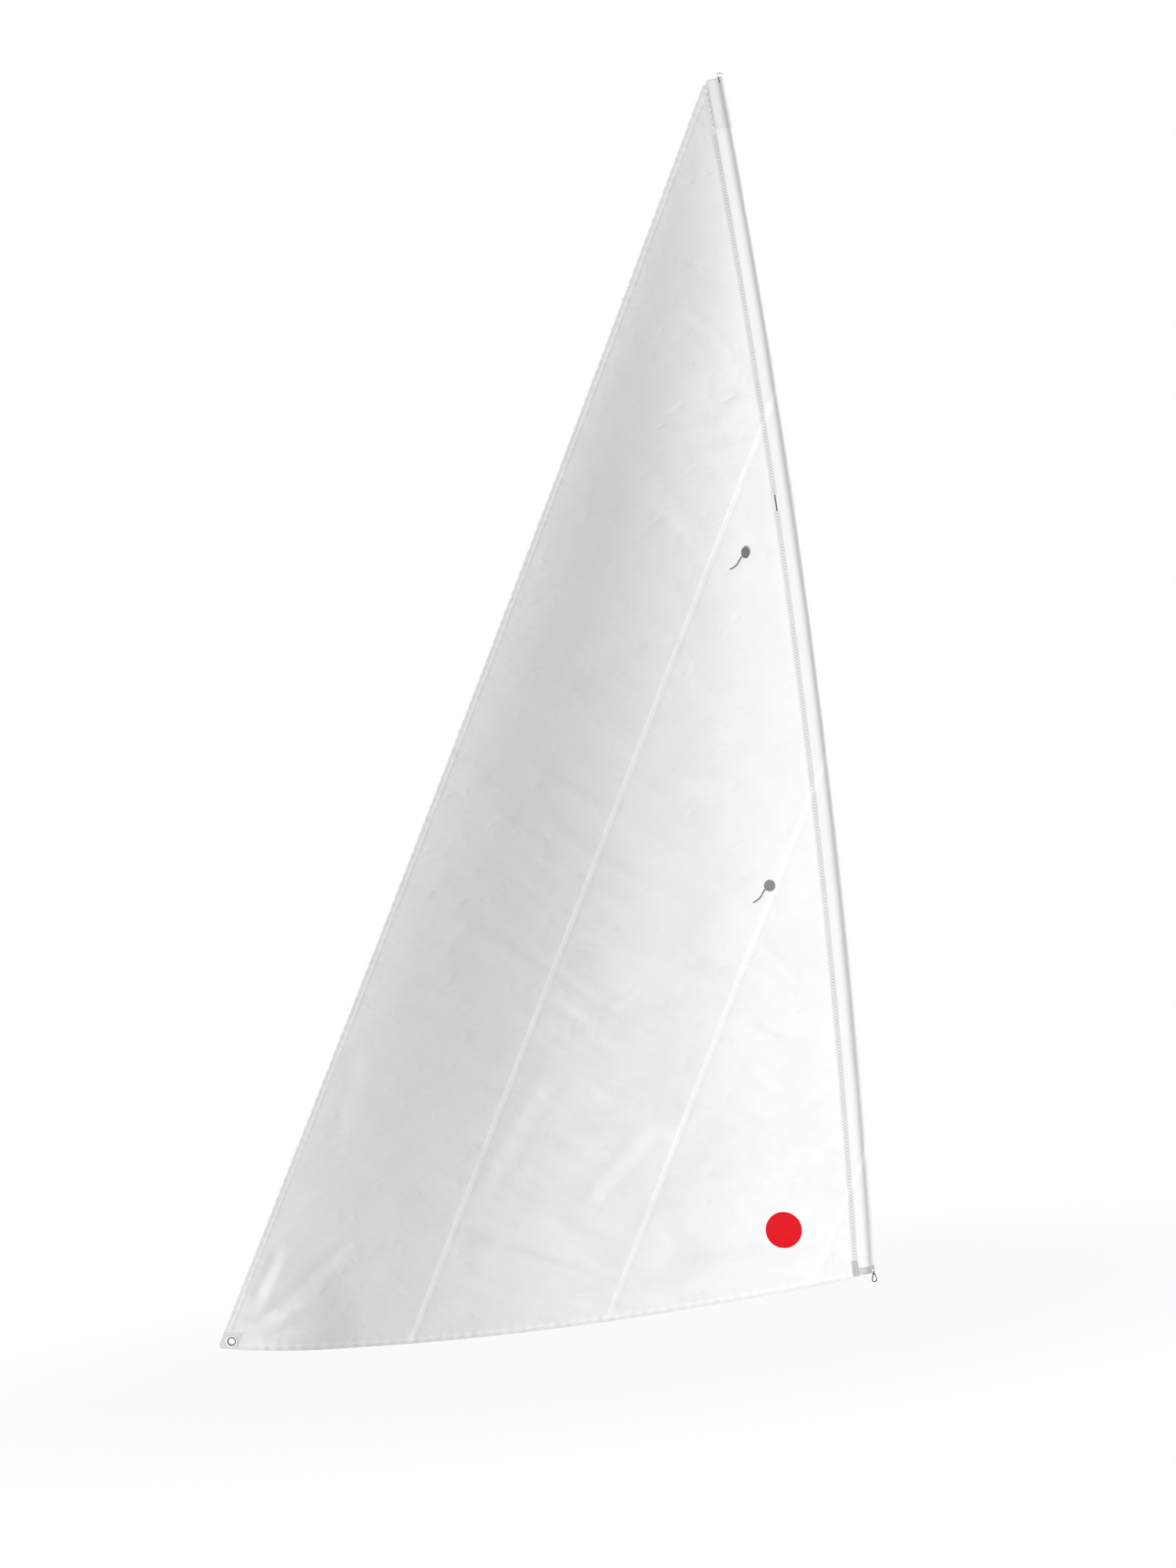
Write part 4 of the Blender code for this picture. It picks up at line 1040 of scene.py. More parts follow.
# Paler metal for the eyelet's outer rim, a painted highlight
RIM_HIGHLIGHT_COLOR = (0.46, 0.46, 0.46, 1.0)
# The photo's view in metres: the camera's distance, the height it sees, its middle and its turn
CAMERA_AWAY = 16.0
VIEW_HEIGHT = 5.70
VIEW_CENTRE = (-0.789, 1.866)
PHOTO_TURN = math.radians(7.27)
SENSOR_HEIGHT = 36.0
FLOOR_SIZE = 60.0
# Lamps: name, degrees to the right of the camera, degrees up, strength and softness in degrees
LAMPS = (
    ("Left key", -75.0, 7.0, 1.06, 20.0),
    ("Front key", -25.0, 10.0, 2.22, 20.0),
    ("Right rim", 105.0, 7.0, 3.60, 20.0),
)
FRONT_FILL, BACK_FILL = 0.02, 0.50


class SAIL_OT_panels(bpy.types.Operator):
    """Cut the four cloths, with their laps, crinkles and the clew's hole"""

    bl_idname = "sail.panels"
    bl_label = "Cloths"

    def execute(self, context):
        half = SEAM_LAP / 2.0
        step = looks().mesh_step
        for number, (name, node, flat, area) in enumerate(PANELS):
            first = 0.0 if number == 0 else SEAMS[number - 1] - half
            last = TACK_ACROSS if number == 3 else SEAMS[number] + half
            if number == 0:
                columns = [np.arange(0.0, 0.030, 0.004), np.arange(0.036, last, step), [last]]
            else:
                lapped = first + SEAM_LAP
                edge = [first, first + half, lapped, lapped + 0.5 * LAP_STEP, lapped + LAP_STEP]
                columns = [edge, np.arange(edge[-1] + 0.008, last - 0.002, step), [last]]
            across, up = column_grid(np.concatenate(columns), step)

            def level(values, number=number):
                if number == 0:
                    return np.zeros(values.shape)
                return 1.0 - smoothstep((values - SEAMS[number - 1] - half) / LAP_STEP)

            made = cloth_piece(name, across, up, level)
            if number == 0:
                bored(made, (EYELET[0], 0.0, EYELET[1]), EYELET_BARREL)
            tone_of_laps(made)
            dress(made, "sail", sail_white(), "sailcloth", node)
        return {"FINISHED"}


# Cloths: name, the solid each stands for, its flat width and length, and its cut area
PANELS = (
    ("leech_cloth", "leech_panel", (0.656, 4.93), 2.80),
    ("second_cloth", "second_panel", (0.665, 3.54), 1.95),
    ("third_cloth", "third_panel", (0.665, 2.13), 0.88),
    ("tack_cloth", "tack_panel", (0.155, 0.47), 0.034),
)


def sleeve_section(z, flap_end, grow=0.0):
    """The sleeve's section at one height: front flap, round the mast, back flap."""
    level_z = max(z, 0.0)
    centre_x = luff_x(level_z)
    meeting = centre_x - FLAPS_MEET
    flap = flap_end + (meeting - flap_end) * FLAP_SHARES
    flap_z = np.full(len(flap), z)
    rise = lap_rise(across_of(flap, flap_z))
    front = cloth_y(flap, flap_z) - (1.0 + rise) * LAYER - grow
    back = cloth_y(flap, flap_z) + LAYER + grow
    meet_y = float(depth(meeting, level_z))
    reach = math.hypot(FLAPS_MEET, meet_y)
    radius = SLEEVE_RADIUS + grow
    base = math.atan2(meet_y, -FLAPS_MEET)
    spread = math.acos(radius / reach)
    angles = base + spread + (2.0 * math.pi - 2.0 * spread) * np.linspace(0.0, 1.0, 33)
    slack = 1.0 + 0.012 * np.sin(3.0 * angles + 7.0 * z) * np.sin(11.0 * z + 1.0)
    round_x, round_y = centre_x + np.cos(angles) * radius * slack, np.sin(angles) * radius * slack
    return np.array([*zip(flap, front), *zip(round_x, round_y), *zip(flap[::-1], back[::-1])])


SLIT_Z = 2.7946
SLIT_LENGTH = 0.062
SLIT_AFT = 0.0455
SLIT_BREADTH = 0.0052
SLIT_COLUMN = 2
SLIT_INNER, SLIT_OUTER = ((FLAP_AFT - SLIT_AFT + side * SLIT_BREADTH / 2.0) / (FLAP_AFT - FLAPS_MEET)
                          for side in (-1.0, 1.0))
FLAP_SHARES = np.array([0.0, 0.5 * SLIT_INNER, SLIT_INNER, SLIT_OUTER, 0.5 + 0.5 * SLIT_OUTER, 1.0])


def flap_end_at(z):
    level = max(z, 0.0)
    return max(luff_x(level) - FLAP_AFT, leech_x(level) + LEECH_CLEAR)


def run_lengths(points):
    """How far along a run of points each of them lies."""
    return np.concatenate([[0.0], np.cumsum(np.linalg.norm(np.diff(points, axis=0), axis=1))])


def sleeve_mesh(bottom, top, step=0.014):
    """The sleeve between two heights, with the slit in its front flap, and its lowest section."""
    heights = np.linspace(bottom, top, int((top - bottom) / step) + 1)
    slit = SLIT_Z + SLIT_LENGTH * np.array([-0.5, 0.5])
    heights = np.union1d(heights[np.all(np.abs(heights[:, None] - slit) > 0.004, axis=1)],
                         slit[(slit > bottom) & (slit < top)])
    sections = [sleeve_section(z, flap_end_at(z)) for z in heights]
    count = len(sections[0])
    vertices = [(x, y, z) for z, section in zip(heights, sections) for x, y in section]
    faces = []
    for face in grid_faces(len(heights), count):
        middle = 0.5 * (vertices[face[0]][2] + vertices[face[2]][2])
        if face[0] % count != SLIT_COLUMN or abs(middle - SLIT_Z) >= SLIT_LENGTH / 2.0:
            faces.append(face)
    uvs = [(length, z) for z in heights for length in run_lengths(sections[0])]
    return vertices, faces, uvs, sections[0]


class SAIL_OT_sleeve(bpy.types.Operator):
    """Sew the mast sleeve's two lengths, with their flaps and the foot of the luff"""

    bl_idname = "sail.sleeve"
    bl_label = "Mast sleeve"

    def execute(self, context):
        for name, node, bottom, top, flat, area in SLEEVES:
            vertices, faces, uvs, section = sleeve_mesh(bottom, top)
            if bottom == 0.0:
                self.add_foot(vertices, faces, uvs, section)
            made = thickened(faced_outward(fresh_mesh(name, vertices, faces, uvs)), CLOTH)
            tone_of_laps(made)
            surface = cloth_material("Sleeve cloth", SLEEVE_COLOR, 0.5, 0.0010)
            dress(made, "sail", surface, "sailcloth", node)
        return {"FINISHED"}

    def add_foot(self, vertices, faces, uvs, section):
        """Carries both flaps down below the sleeve's mouth to the foot of the cloth."""
        count = len(section)
        for first, last in ((0, 6), (count - 6, count)):
            above = list(range(first, last))
            for share in (0.25, 0.5, 0.75, 1.0):
                row = []
                for index in range(first, last):
                    x, y = section[index]
                    low = float(foot_z(x)) + 0.0005
                    row.append(len(vertices))
                    vertices.append((x, y, share * low))
                    uvs.append((uvs[index][0], share * low))
                for number in range(len(row) - 1):
                    faces.append((above[number], above[number + 1], row[number + 1], row[number]))
                above = row


SLEEVE_COLOR = (0.81, 0.81, 0.812)
# Sleeve lengths: name, the solid each stands for, its ends, its flat width and length, and its cut area
SLEEVES = (
    ("sleeve_lower_cloth", "mast_sleeve_lower", 0.0, SLEEVE_BREAK - 0.00005, (0.212, 2.84), 0.60),
    ("sleeve_upper_cloth", "mast_sleeve_upper", SLEEVE_BREAK + 0.00005, SLEEVE_TOP, (0.216, 1.56), 0.33),
)


class SAIL_OT_head_cap(bpy.types.Operator):
    """Sew the cap that closes the sleeve's head"""

    bl_idname = "sail.head_cap"
    bl_label = "Head cap"

    def execute(self, context):
        heights = list(np.linspace(CAP_LOWER_END, CAP_TOP - CAP_ROUNDING, 16))
        insets = [0.0] * len(heights)
        for angle in np.radians(np.linspace(15.0, 90.0, 6)):
            heights.append(CAP_TOP - CAP_ROUNDING + CAP_ROUNDING * math.sin(angle))
            insets.append(CAP_ROUNDING * (1.0 - math.cos(angle)))
        vertices, uvs = [], []
        for z, inset in zip(heights, insets):
            end = max(luff_x(z) - PANEL_LUFF - CAP_FLAP, leech_x(z) + LEECH_CLEAR)
            section = sleeve_section(min(z, SLEEVE_TOP + 0.002), end, CAP_CLEARANCE)
            centre = luff_x(z)
            for x, y in section:
                share = max(1.0 - inset / math.hypot(x - centre, y), 0.1)
                drawn = share if x > centre - FLAPS_MEET else 1.0 - 20.0 * inset
                vertices.append((centre + (x - centre) * share, y * drawn, z))
            uvs += [(length, z) for length in run_lengths(section)]
        count = len(section)
        faces = grid_faces(len(heights), count)
        last, pairs = len(vertices) - count, count // 2
        for index in range(pairs - 1):
            left, right = last + index, last + count - 1 - index
            faces.append((left, left + 1, right - 1, right))
        faces.append((last + pairs - 1, last + pairs, last + pairs + 1))
        made = thickened(faced_outward(fresh_mesh("head_cap_cloth", vertices, faces, uvs)), CLOTH)
        surface = cloth_material("Cap cloth", CAP_COLOR, 0.55, 0.0010)
        dress(made, "sail", surface, "cap_cloth", "sleeve_head_cap")
        return {"FINISHED"}


CAP_COLOR = (0.75, 0.75, 0.753)
CAP_FLAP = 0.0045


def front_level(across):
    return 1.0 + lap_rise(across)


def tape_piece(name, node, inner, edge, outward, levels, lengths):
    """A tape folded round an edge, from the X and Z of its inner places and its edge places."""
    vertices, uvs = [], []
    shares = np.linspace(0.0, 1.0, 5)
    lying = 1.0 - 0.12 * (1.0 - smoothstep(shares / 0.3))
    turns = np.radians(np.linspace(-60.0, 60.0, 5))
    for inner_x, inner_z, edge_x, edge_z, up, length in zip(*inner, *edge, levels, lengths):
        x, z = inner_x + shares * (edge_x - inner_x), inner_z + shares * (edge_z - inner_z)
        surface = cloth_y(x, z)
        front, back = surface - up * LAYER * lying, surface + LAYER
        middle, half = 0.5 * (front[-1] + back[-1]), 0.5 * (back[-1] - front[-1])
        fold_x, fold_z = (place + way * half * np.cos(turns) for place, way in zip((edge_x, edge_z), outward))
        places = [*zip(x, front, z), *zip(fold_x, middle + half * np.sin(turns), fold_z),
                  *zip(x[::-1], back[::-1], z[::-1])]
        vertices += places
        uvs += [(0.005 * index, length) for index in range(len(places))]
    faces = grid_faces(len(lengths), len(places))
    made = thickened(faced_outward(fresh_mesh(name, vertices, faces, uvs)), CLOTH)
    tone_of_laps(made)
    return dress(made, "sail", tape_white(), "tape_cloth", node)


class SAIL_OT_tapes(bpy.types.Operator):
    """Fold the tapes round the leech and the foot"""

    bl_idname = "sail.tapes"
    bl_label = "Edge tapes"

    def execute(self, context):
        start, end = column_ends(np.zeros(1))
        ups = np.arange(CORNER_CAP + 0.0006, float(end[0] - start[0]) - 0.004, EDGE_STEP)
        edge_x, edge_z, along = grid_place(np.zeros(len(ups)), ups)
        inner_x, inner_z, _ = grid_place(np.full(len(ups), TAPE_WIDTH), ups)
        scallop = 0.0011 * np.sin(2.0 * np.pi * ups / LEECH_GATHER + 2.0 * np.sin(ups * 5.0))
        edge = (edge_x + CHORD_ACROSS[0] * scallop, edge_z + CHORD_ACROSS[1] * scallop)
        made = tape_piece("leech_tape_cloth", "leech_tape", (inner_x, inner_z), edge, -CHORD_ACROSS,
                          np.ones(len(ups)), along)

        across = np.arange(CORNER_CAP + 0.0006, TACK_ACROSS - 0.008, EDGE_STEP)
        start, end = column_ends(across)
        height = np.minimum(TAPE_WIDTH, 0.3 * (end - start))
        made = tape_piece("foot_tape_cloth", "foot_tape", in_column(across, start + height),
                          in_column(across, start), (0.0, -1.0), front_level(across), across)
        return {"FINISHED"}


class SAIL_OT_patches(bpy.types.Operator):
    """Lay the patches behind the clew, the head and the tack, and both of the clew's corner caps"""

    bl_idname = "sail.patches"
    bl_label = "Patches"

    def execute(self, context):
        patch = cloth_material("Patch cloth", looks().tape_color, 0.55, 0.0016)
        inner = TAPE_WIDTH + PATCH_GAP

        def outside_corner(across, up):
            return max(across, up) > CORNER_CAP + PATCH_GAP

        for name, node, reach, layer, flat, area in CLEW_PATCHES:
            edges = np.append(np.arange(inner, reach, EDGE_STEP), reach)
            made = cloth_piece(name, *np.meshgrid(edges, edges, indexing="ij"), layer, outside_corner)
            dress(made, "sail", patch, "patch_cloth", node)

        columns = np.arange(inner, SMALL_PATCH - PATCH_GAP, 0.009)
        start, end = column_ends(columns)
        places = ladder(columns, HEAD_PATCH_LOW, end - start - 0.034, 60)
        made = cloth_piece("head_patch_cloth", *places, -1.0)
        dress(made, "sail", patch, "patch_cloth", "head_patch")

        columns = np.linspace(SEAMS[2] + SEAM_LAP / 2.0 + LAP_STEP + PATCH_GAP, TACK_ACROSS - 0.045, 12)
        start, end = column_ends(columns)
        low = np.minimum(TAPE_WIDTH, 0.3 * (end - start)) + PATCH_GAP
        places = ladder(columns, low, low + 0.55 * (end - start - low - 0.02), 16)
        made = cloth_piece("tack_patch_cloth", *places, -1.0)
        dress(made, "sail", patch, "patch_cloth", "tack_patch")

        corner = cloth_material("Corner cloth", CORNER_COLOR, 0.6, 0.0008)
        reach = CORNER_CAP - PATCH_GAP
        edges = np.append(np.arange(0.0, reach - 0.003, 0.004), reach)
        for face, layer in (("front", 1.6), ("back", -1.6)):
            node = f"clew_corner_{face}"
            made = cloth_piece(node + "_cloth", *np.meshgrid(edges, edges, indexing="ij"), layer)
            bored(made, (EYELET[0], 0.0, EYELET[1]), EYELET_BARREL)
            dress(made, "sail", corner, "corner_cloth", node)
        return {"FINISHED"}


PATCH_GAP = 0.002
EDGE_STEP = 0.008
# Clew patches: name, the solid each stands for, how far they reach, their layer, flat size and area
CLEW_PATCHES = (
    ("clew_patch_large_cloth", "clew_patch_large", LARGE_PATCH - PATCH_GAP, -1.0, (0.304, 0.304), 0.0905),
    ("clew_patch_small_cloth", "clew_patch_small", SMALL_PATCH - PATCH_GAP, -2.0, (0.174, 0.174), 0.0288),
)
HEAD_PATCH_LOW = 4.25
CORNER_COLOR = (0.82, 0.82, 0.82)


class SAIL_OT_stitching(bpy.types.Operator):
    """Sew the zigzags of the sleeve, the seams and the foot, and the plain rows of leech and patches"""

    bl_idname = "sail.stitching"
    bl_label = "Stitching"

    def execute(self, context):
        radius = looks().thread_radius
        grey = thread_material("Sewing thread", looks().thread_color)
        pale = thread_material("Pale sewing thread", PALE_THREAD)
        for name, thread, runs in (("sleeve_stitching", grey, self.sleeve_runs(radius)),
                                   ("seam_stitching", pale, self.seam_runs(radius)),
                                   ("foot_stitching", pale, self.foot_runs(radius)),
                                   ("leech_stitching", pale, self.leech_runs(radius)),
                                   ("patch_stitching", pale, self.patch_runs(radius))):
            made = tubes_mesh(name, runs, 1.3 * radius if thread is grey else radius)
            dress(made, "sail", thread, "sailcloth")
        return {"FINISHED"}

    def sleeve_runs(self, radius):
        runs = []
        for bottom, top in SLEEVE_ROW_ENDS:
            along, off = zigzag(bottom, top, looks().stitch_pitch, SLEEVE_ROW_BREADTH)
            for side in (1.0, -1.0):
                z = refined(along, 4)
                aft = np.minimum(SLEEVE_ROW_AFT, flap_depth(z) - 0.006)
                room = np.clip((flap_depth(z) - FLAPS_MEET) / (FLAP_AFT - FLAPS_MEET), 0.3, 1.0)
                x = luff_x(z) - aft + refined(side * off, 4) * room
                runs += sewn(x, z, 1.0 + lap_rise(across_of(x, z)), -1.0, radius)
        over_cap = 1.0 + CAP_CLEARANCE / LAYER
        along, off = zigzag(CAP_LOWER_END + 0.008, CAP_TOP - 0.030, looks().stitch_pitch, CAP_ROW_BREADTH)
        z = refined(along, 4)
        x = luff_x(z) - np.minimum(CAP_ROW_AFT, flap_depth(z) - 0.012) + refined(off, 4)
        runs += sewn(x, z, over_cap + lap_rise(across_of(x, z)), -over_cap, radius)
        return runs

    def seam_runs(self, radius):
        runs = []
        for seam in SEAMS:
            start, end = (float(value[0]) for value in column_ends(np.array([seam])))
            along, off = zigzag(start + SEAM_ROW_SHORT, end - SEAM_ROW_SHORT, *SEAM_ZIGZAG)
            along, off = refined(along, 3), refined(off, 3)
            x, z = in_column(seam + off, along)
            runs += sewn(x, z, 1.0, 0.0, radius)
        return runs

    def foot_runs(self, radius):
        along, off = zigzag(EDGE_ROW_START, TACK_ACROSS - 0.06, *FOOT_ZIGZAG)
        across, up = refined(along, 3), refined(off, 3)
        x, z = in_column(across, column_ends(across)[0] + FOOT_ROW_UP + up)
        return sewn(x, z, front_level(across), -1.0, radius)

    def leech_runs(self, radius):
        up = np.arange(EDGE_ROW_START, LEECH_ROW_TOP, LEECH_STITCH)
        x, z, _ = grid_place(np.full(len(up), LEECH_ROW_IN), up)
        return sewn(x, z, 1.0, -1.0, radius)

    def patch_runs(self, radius):
        runs = []
        for reach, front, back, low in PATCH_ROWS:
            edge = np.arange(low, reach, EDGE_STEP)
            for across, up in ((np.full(len(edge), reach), edge), (edge, np.full(len(edge), reach))):
                x, z, _ = grid_place(across, up)
                runs += sewn(x, z, front, back, radius)
        return runs


PALE_THREAD = (0.93, 0.93, 0.93)
# Sleeve's zigzags: their ends below and above the slit, their breadth and how far aft they lie
SLEEVE_ROW_ENDS = ((0.006, SLIT_Z - 0.033), (SLIT_Z + 0.033, 4.150))
SLEEVE_ROW_BREADTH, SLEEVE_ROW_AFT = 0.018, 0.0465
CAP_ROW_BREADTH, CAP_ROW_AFT = 0.014, 0.040
# Pitch and breadth of the seams' and the foot's zigzags, and where those rows lie
SEAM_ZIGZAG, SEAM_ROW_SHORT = (0.016, 0.008), 0.030
FOOT_ZIGZAG, FOOT_ROW_UP = (0.018, 0.009), 0.0135
EDGE_ROW_START = 0.075
# Leech's plain row: how far in from the edge, its top and the length of a stitch
LEECH_ROW_IN, LEECH_ROW_TOP, LEECH_STITCH = 0.0195, 4.84, 0.009
# Rows round the clew's patches: how far they reach, the layers before and behind, and their start
PATCH_ROWS = ((0.320, 0.0, -1.0, 0.030), (0.190, 0.0, -2.0, 0.030), (0.058, 1.0, -1.0, 0.007))


def flap_depth(z):
    return luff_x(z) - np.maximum(luff_x(z) - FLAP_AFT, leech_x(z) + LEECH_CLEAR)


def band_mesh(name, lines, uvs):
    """A flat band of webbing through lines of points."""
    vertices = [place for line in lines for place in line]
    made = fresh_mesh(name, vertices, grid_faces(len(lines), len(lines[0])), uvs)
    return thickened(faced_outward(made, merge=1e-6), 0.9 * STRAP_THICKNESS)


def strap_plan():
    """The strap's line seen from above: along the flap, round the front of the sleeve, straight on."""
    out = LAYER + CLOTH / 2.0 + 0.0002 + STRAP_THICKNESS / 2.0
    radius = 0.0236 + SOLID_CLOTH / 2.0 + SOLID_GAP + STRAP_THICKNESS / 2.0
    plan = [(x, float(depth(x, TACK_LEVEL)) - out) for x in np.linspace(STRAP_AFT, -FLAPS_MEET, 6)]
    aft_y = float(depth(-FLAPS_MEET, TACK_LEVEL))
    start = math.atan2(aft_y, -FLAPS_MEET) + math.acos(radius / math.hypot(FLAPS_MEET, aft_y))
    for angle in np.linspace(start, 1.5 * math.pi, 16):
        plan.append((math.cos(angle) * radius, math.sin(angle) * radius))
    plan += [(x, -radius) for x in np.linspace(0.004, STRAP_FORWARD, 6)]
    return plan


def strap_low(x):
    share = (x - STRAP_AFT) / (STRAP_FORWARD - STRAP_AFT)
    return STRAP_TOP_AFT - STRAP_WIDTH + share * (STRAP_TOP_FORWARD - STRAP_TOP_AFT)


class SAIL_OT_tack(bpy.types.Operator):
    """Make the tack's webbing strap, its reinforcement, their stitches and the lashing"""

    bl_idname = "sail.tack"
    bl_label = "Tack webbing"

    def execute(self, context):
        webbing = webbing_material("Grey webbing", looks().webbing_color)
        plan = strap_plan()
        shares = np.linspace(0.0, 1.0, 12)
        lines = [[(x, y, strap_low(x) + STRAP_WIDTH * share) for share in shares] for x, y in plan]
        uvs = [(STRAP_WIDTH * share, length) for length in run_lengths(plan) for share in shares]
        strap = band_mesh("tack_strap_webbing", lines, uvs)
        bored(strap, (STRAP_HOLE_X, plan[-1][1], STRAP_HOLE_Z), STRAP_HOLE)
        dress(strap, "sail", webbing, "webbing", "tack_strap")

        out = LAYER + CLOTH / 2.0 + 0.0004 + 1.5 * STRAP_THICKNESS
        heights = np.linspace(REINFORCEMENT_LOW, REINFORCEMENT_HIGH, 14)
        lines = [[(x, float(depth(x, TACK_LEVEL)) - out, z) for z in heights]
                 for x in np.linspace(REINFORCEMENT_AFT, REINFORCEMENT_FORWARD, 7)]
        uvs = [(x, z) for line in lines for x, _, z in line]
        band = band_mesh("tack_reinforcement_webbing", lines, uvs)
        dress(band, "sail", webbing, "webbing", "tack_reinforcement")
        self.make_stitches()
        self.make_lashing()
        return {"FINISHED"}

    def make_stitches(self):
        """Four rows of four bar stitches on the strap, and a zigzag down the reinforcement."""
        plan = np.array(strap_plan())
        runs = []
        for x in TACK_STITCH_X:
            index = int(np.argmin(np.abs(plan[:, 0] - x) + 10.0 * (plan[:, 1] > 0.0)))
            middle, y = plan[index] - (0.0, STRAP_THICKNESS / 2.0 + 0.0002)
            for share in BAR_STITCH_SHARES:
                z = strap_low(x) + STRAP_WIDTH * share
                runs.append([(middle - BAR_STITCH_HALF, y, z), (middle, y - 0.0003, z),
                             (middle + BAR_STITCH_HALF, y, z)])
        out = LAYER + CLOTH / 2.0 + 0.0004 + 2.0 * STRAP_THICKNESS
        along, off = zigzag(REINFORCEMENT_LOW + 0.003, REINFORCEMENT_HIGH - 0.003, 0.006, 0.008)
        middle = 0.5 * (REINFORCEMENT_AFT + REINFORCEMENT_FORWARD)
        runs.append([(middle + shift, float(depth(middle + shift, TACK_LEVEL)) - out, z)
                     for z, shift in zip(along, off)])
        made = tubes_mesh("tack_stitching", runs, 0.00055)
        dress(made, "sail", dark_thread(), "dark_thread")

    def make_lashing(self):
        """Two turns of thin cord through the strap's hole and the hook's eye."""
        turns, steps = 2, 40
        points = []
        for number in range(turns * steps):
            angle = 2.0 * math.pi * number / steps
            drift = LASHING_CORD * 0.42 * math.cos(math.pi * number / steps)
            radius = LASHING_RING + 0.0002 * math.sin(3.0 * angle)
            points.append((LASHING_CENTRE[0] + drift, LASHING_CENTRE[1] + radius * math.sin(angle),
                           LASHING_CENTRE[2] + radius * math.cos(angle)))
        vertices, faces = tube(points, LASHING_CORD * 0.58, normal=(1.0, 0.0, 0.0), sides=10, closed=True)
        uvs = [(side / 10.0, row * 0.00094) for row in range(len(points)) for side in range(10)]
        made = faced_outward(fresh_mesh("tack_lashing_cord", vertices, faces, uvs))
        dress(made, "sail", cord_material("Black cord", (0.02, 0.02, 0.022)), "black_cord", "tack_lashing")


# Bar stitches on the strap: where the rows stand, each stitch's share of its width, and half its length
TACK_STITCH_X = (-0.0205, -0.0135, -0.0065, 0.0005)
BAR_STITCH_SHARES = (0.16, 0.39, 0.62, 0.85)
BAR_STITCH_HALF = 0.0012
# Height at which the tack's webbing takes the sail's depth
TACK_LEVEL = 0.5 * (REINFORCEMENT_LOW + STRAP_TOP_AFT)


class SAIL_OT_head_loop(bpy.types.Operator):
    """Make the webbing loop at the head and the bar tack that holds it"""

    bl_idname = "sail.head_loop"
    bl_label = "Head loop"

    def execute(self, context):
        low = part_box("head_loop")[0][2]
        radius = LOOP_HEIGHT / 2.0 - LOOP_BAND / 2.0
        straight = LOOP_LENGTH / 2.0 - LOOP_HEIGHT / 2.0
        centre_z = low + LOOP_HEIGHT / 2.0
        path = []
        for first, last, shift in ((-90.0, 90.0, straight), (90.0, 270.0, -straight)):
            for angle in np.radians(np.linspace(first, last, 22)):
                bulge = (abs(math.cos(angle)) ** 3 + abs(math.sin(angle)) ** 3) ** (-1.0 / 3.0)
                path.append((LOOP_X + shift + radius * bulge * math.cos(angle),
                             centre_z + radius * bulge * math.sin(angle)))
        half_y, half_t = LOOP_BREADTH / 2.0, LOOP_BAND / 2.0
        profile = []
        for (y0, t0), (y1, t1) in zip(BAND_CORNERS, BAND_CORNERS[1:] + BAND_CORNERS[:1]):
            profile += [(y0, t0), (0.5 * (y0 + y1), 0.5 * (t0 + t1))]
        vertices, uvs = [], []
        for index, (x, z) in enumerate(path):
            before, after = path[index - 1], path[(index + 1) % len(path)]
            way = Vector((after[0] - before[0], after[1] - before[1])).normalized()
            for y, t in profile:
                vertices.append((x + way.y * t * half_t, y * half_y, z - way.x * t * half_t))
                uvs.append((y * half_y, index * 0.0015))
        faces = grid_faces(len(path), len(profile), True, True)
        made = faced_outward(fresh_mesh("head_loop_webbing", vertices, faces, uvs))
        dress(made, "sail", webbing_material("Pale webbing", (0.92, 0.92, 0.92)), "webbing", "head_loop")

        low_corner, high_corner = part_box("head_bar_tack")
        runs = []
        z_low, z_high = low_corner[2] + 0.0004, high_corner[2] - 0.0004
        y_low, y_high = low_corner[1] + 0.0003, high_corner[1] - 0.0003
        for x in np.linspace(low_corner[0] + 0.0005, high_corner[0] - 0.0005, 7):
            runs.append([(x, y_low, z_low), (x, y_low, z_high), (x, 0.5 * (y_low + y_high), z_high + 0.0002),
                         (x, y_high, z_high), (x, y_high, z_low), (x, 0.0, 0.5 * (z_low + z_high))])
        side, front = -LOOP_BREADTH / 2.0, -SLEEVE_RADIUS - CAP_CLEARANCE - 0.0009
        for x in LOOP_X - LOOP_LENGTH / 2.0 + 0.0030 + 0.0008 * np.arange(4):
            runs.append([(x, side, low + 0.0060), (x, side - 0.0006, low + 0.0010),
                         (x, front + 0.0090, low + 0.0008), (x, front + 0.0030, low - 0.0020),
                         (x + 0.0006, front, low - 0.0075), (x + 0.0014, front - 0.0002, low - 0.0175)])
        bar = tubes_mesh("head_bar_tack_thread", runs, 0.00042, sides=6)
        dress(bar, "sail", dark_thread(), "dark_thread", "head_bar_tack")
        return {"FINISHED"}


# Section of the loop's webbing, as shares of half its breadth and half its thickness
BAND_CORNERS = ((-1.0, -0.45), (-0.9, -0.95), (0.9, -0.95), (1.0, -0.45), (1.0, 0.45), (0.9, 0.95),
                (-0.9, 0.95), (-1.0, 0.45))


def surface_under(x, z, side):
    """The cloth's outer face at a place, on the camera's side (1) or the far side (-1)."""
    if side > 0.0:
        rise = np.zeros(np.shape(x))
        across = across_of(x, z)
        for seam in SEAMS:
            inner = seam + SEAM_LAP / 2.0
            step = 1.0 - smoothstep((across - inner) / LAP_STEP)
            rise = np.maximum(rise, np.where(across > seam - SEAM_LAP / 2.0 - 0.002, step, 0.0)
                              * (across < inner + LAP_STEP))
        return cloth_y(x, z) - rise * LAYER - CLOTH / 2.0
    return cloth_y(x, z) + CLOTH / 2.0


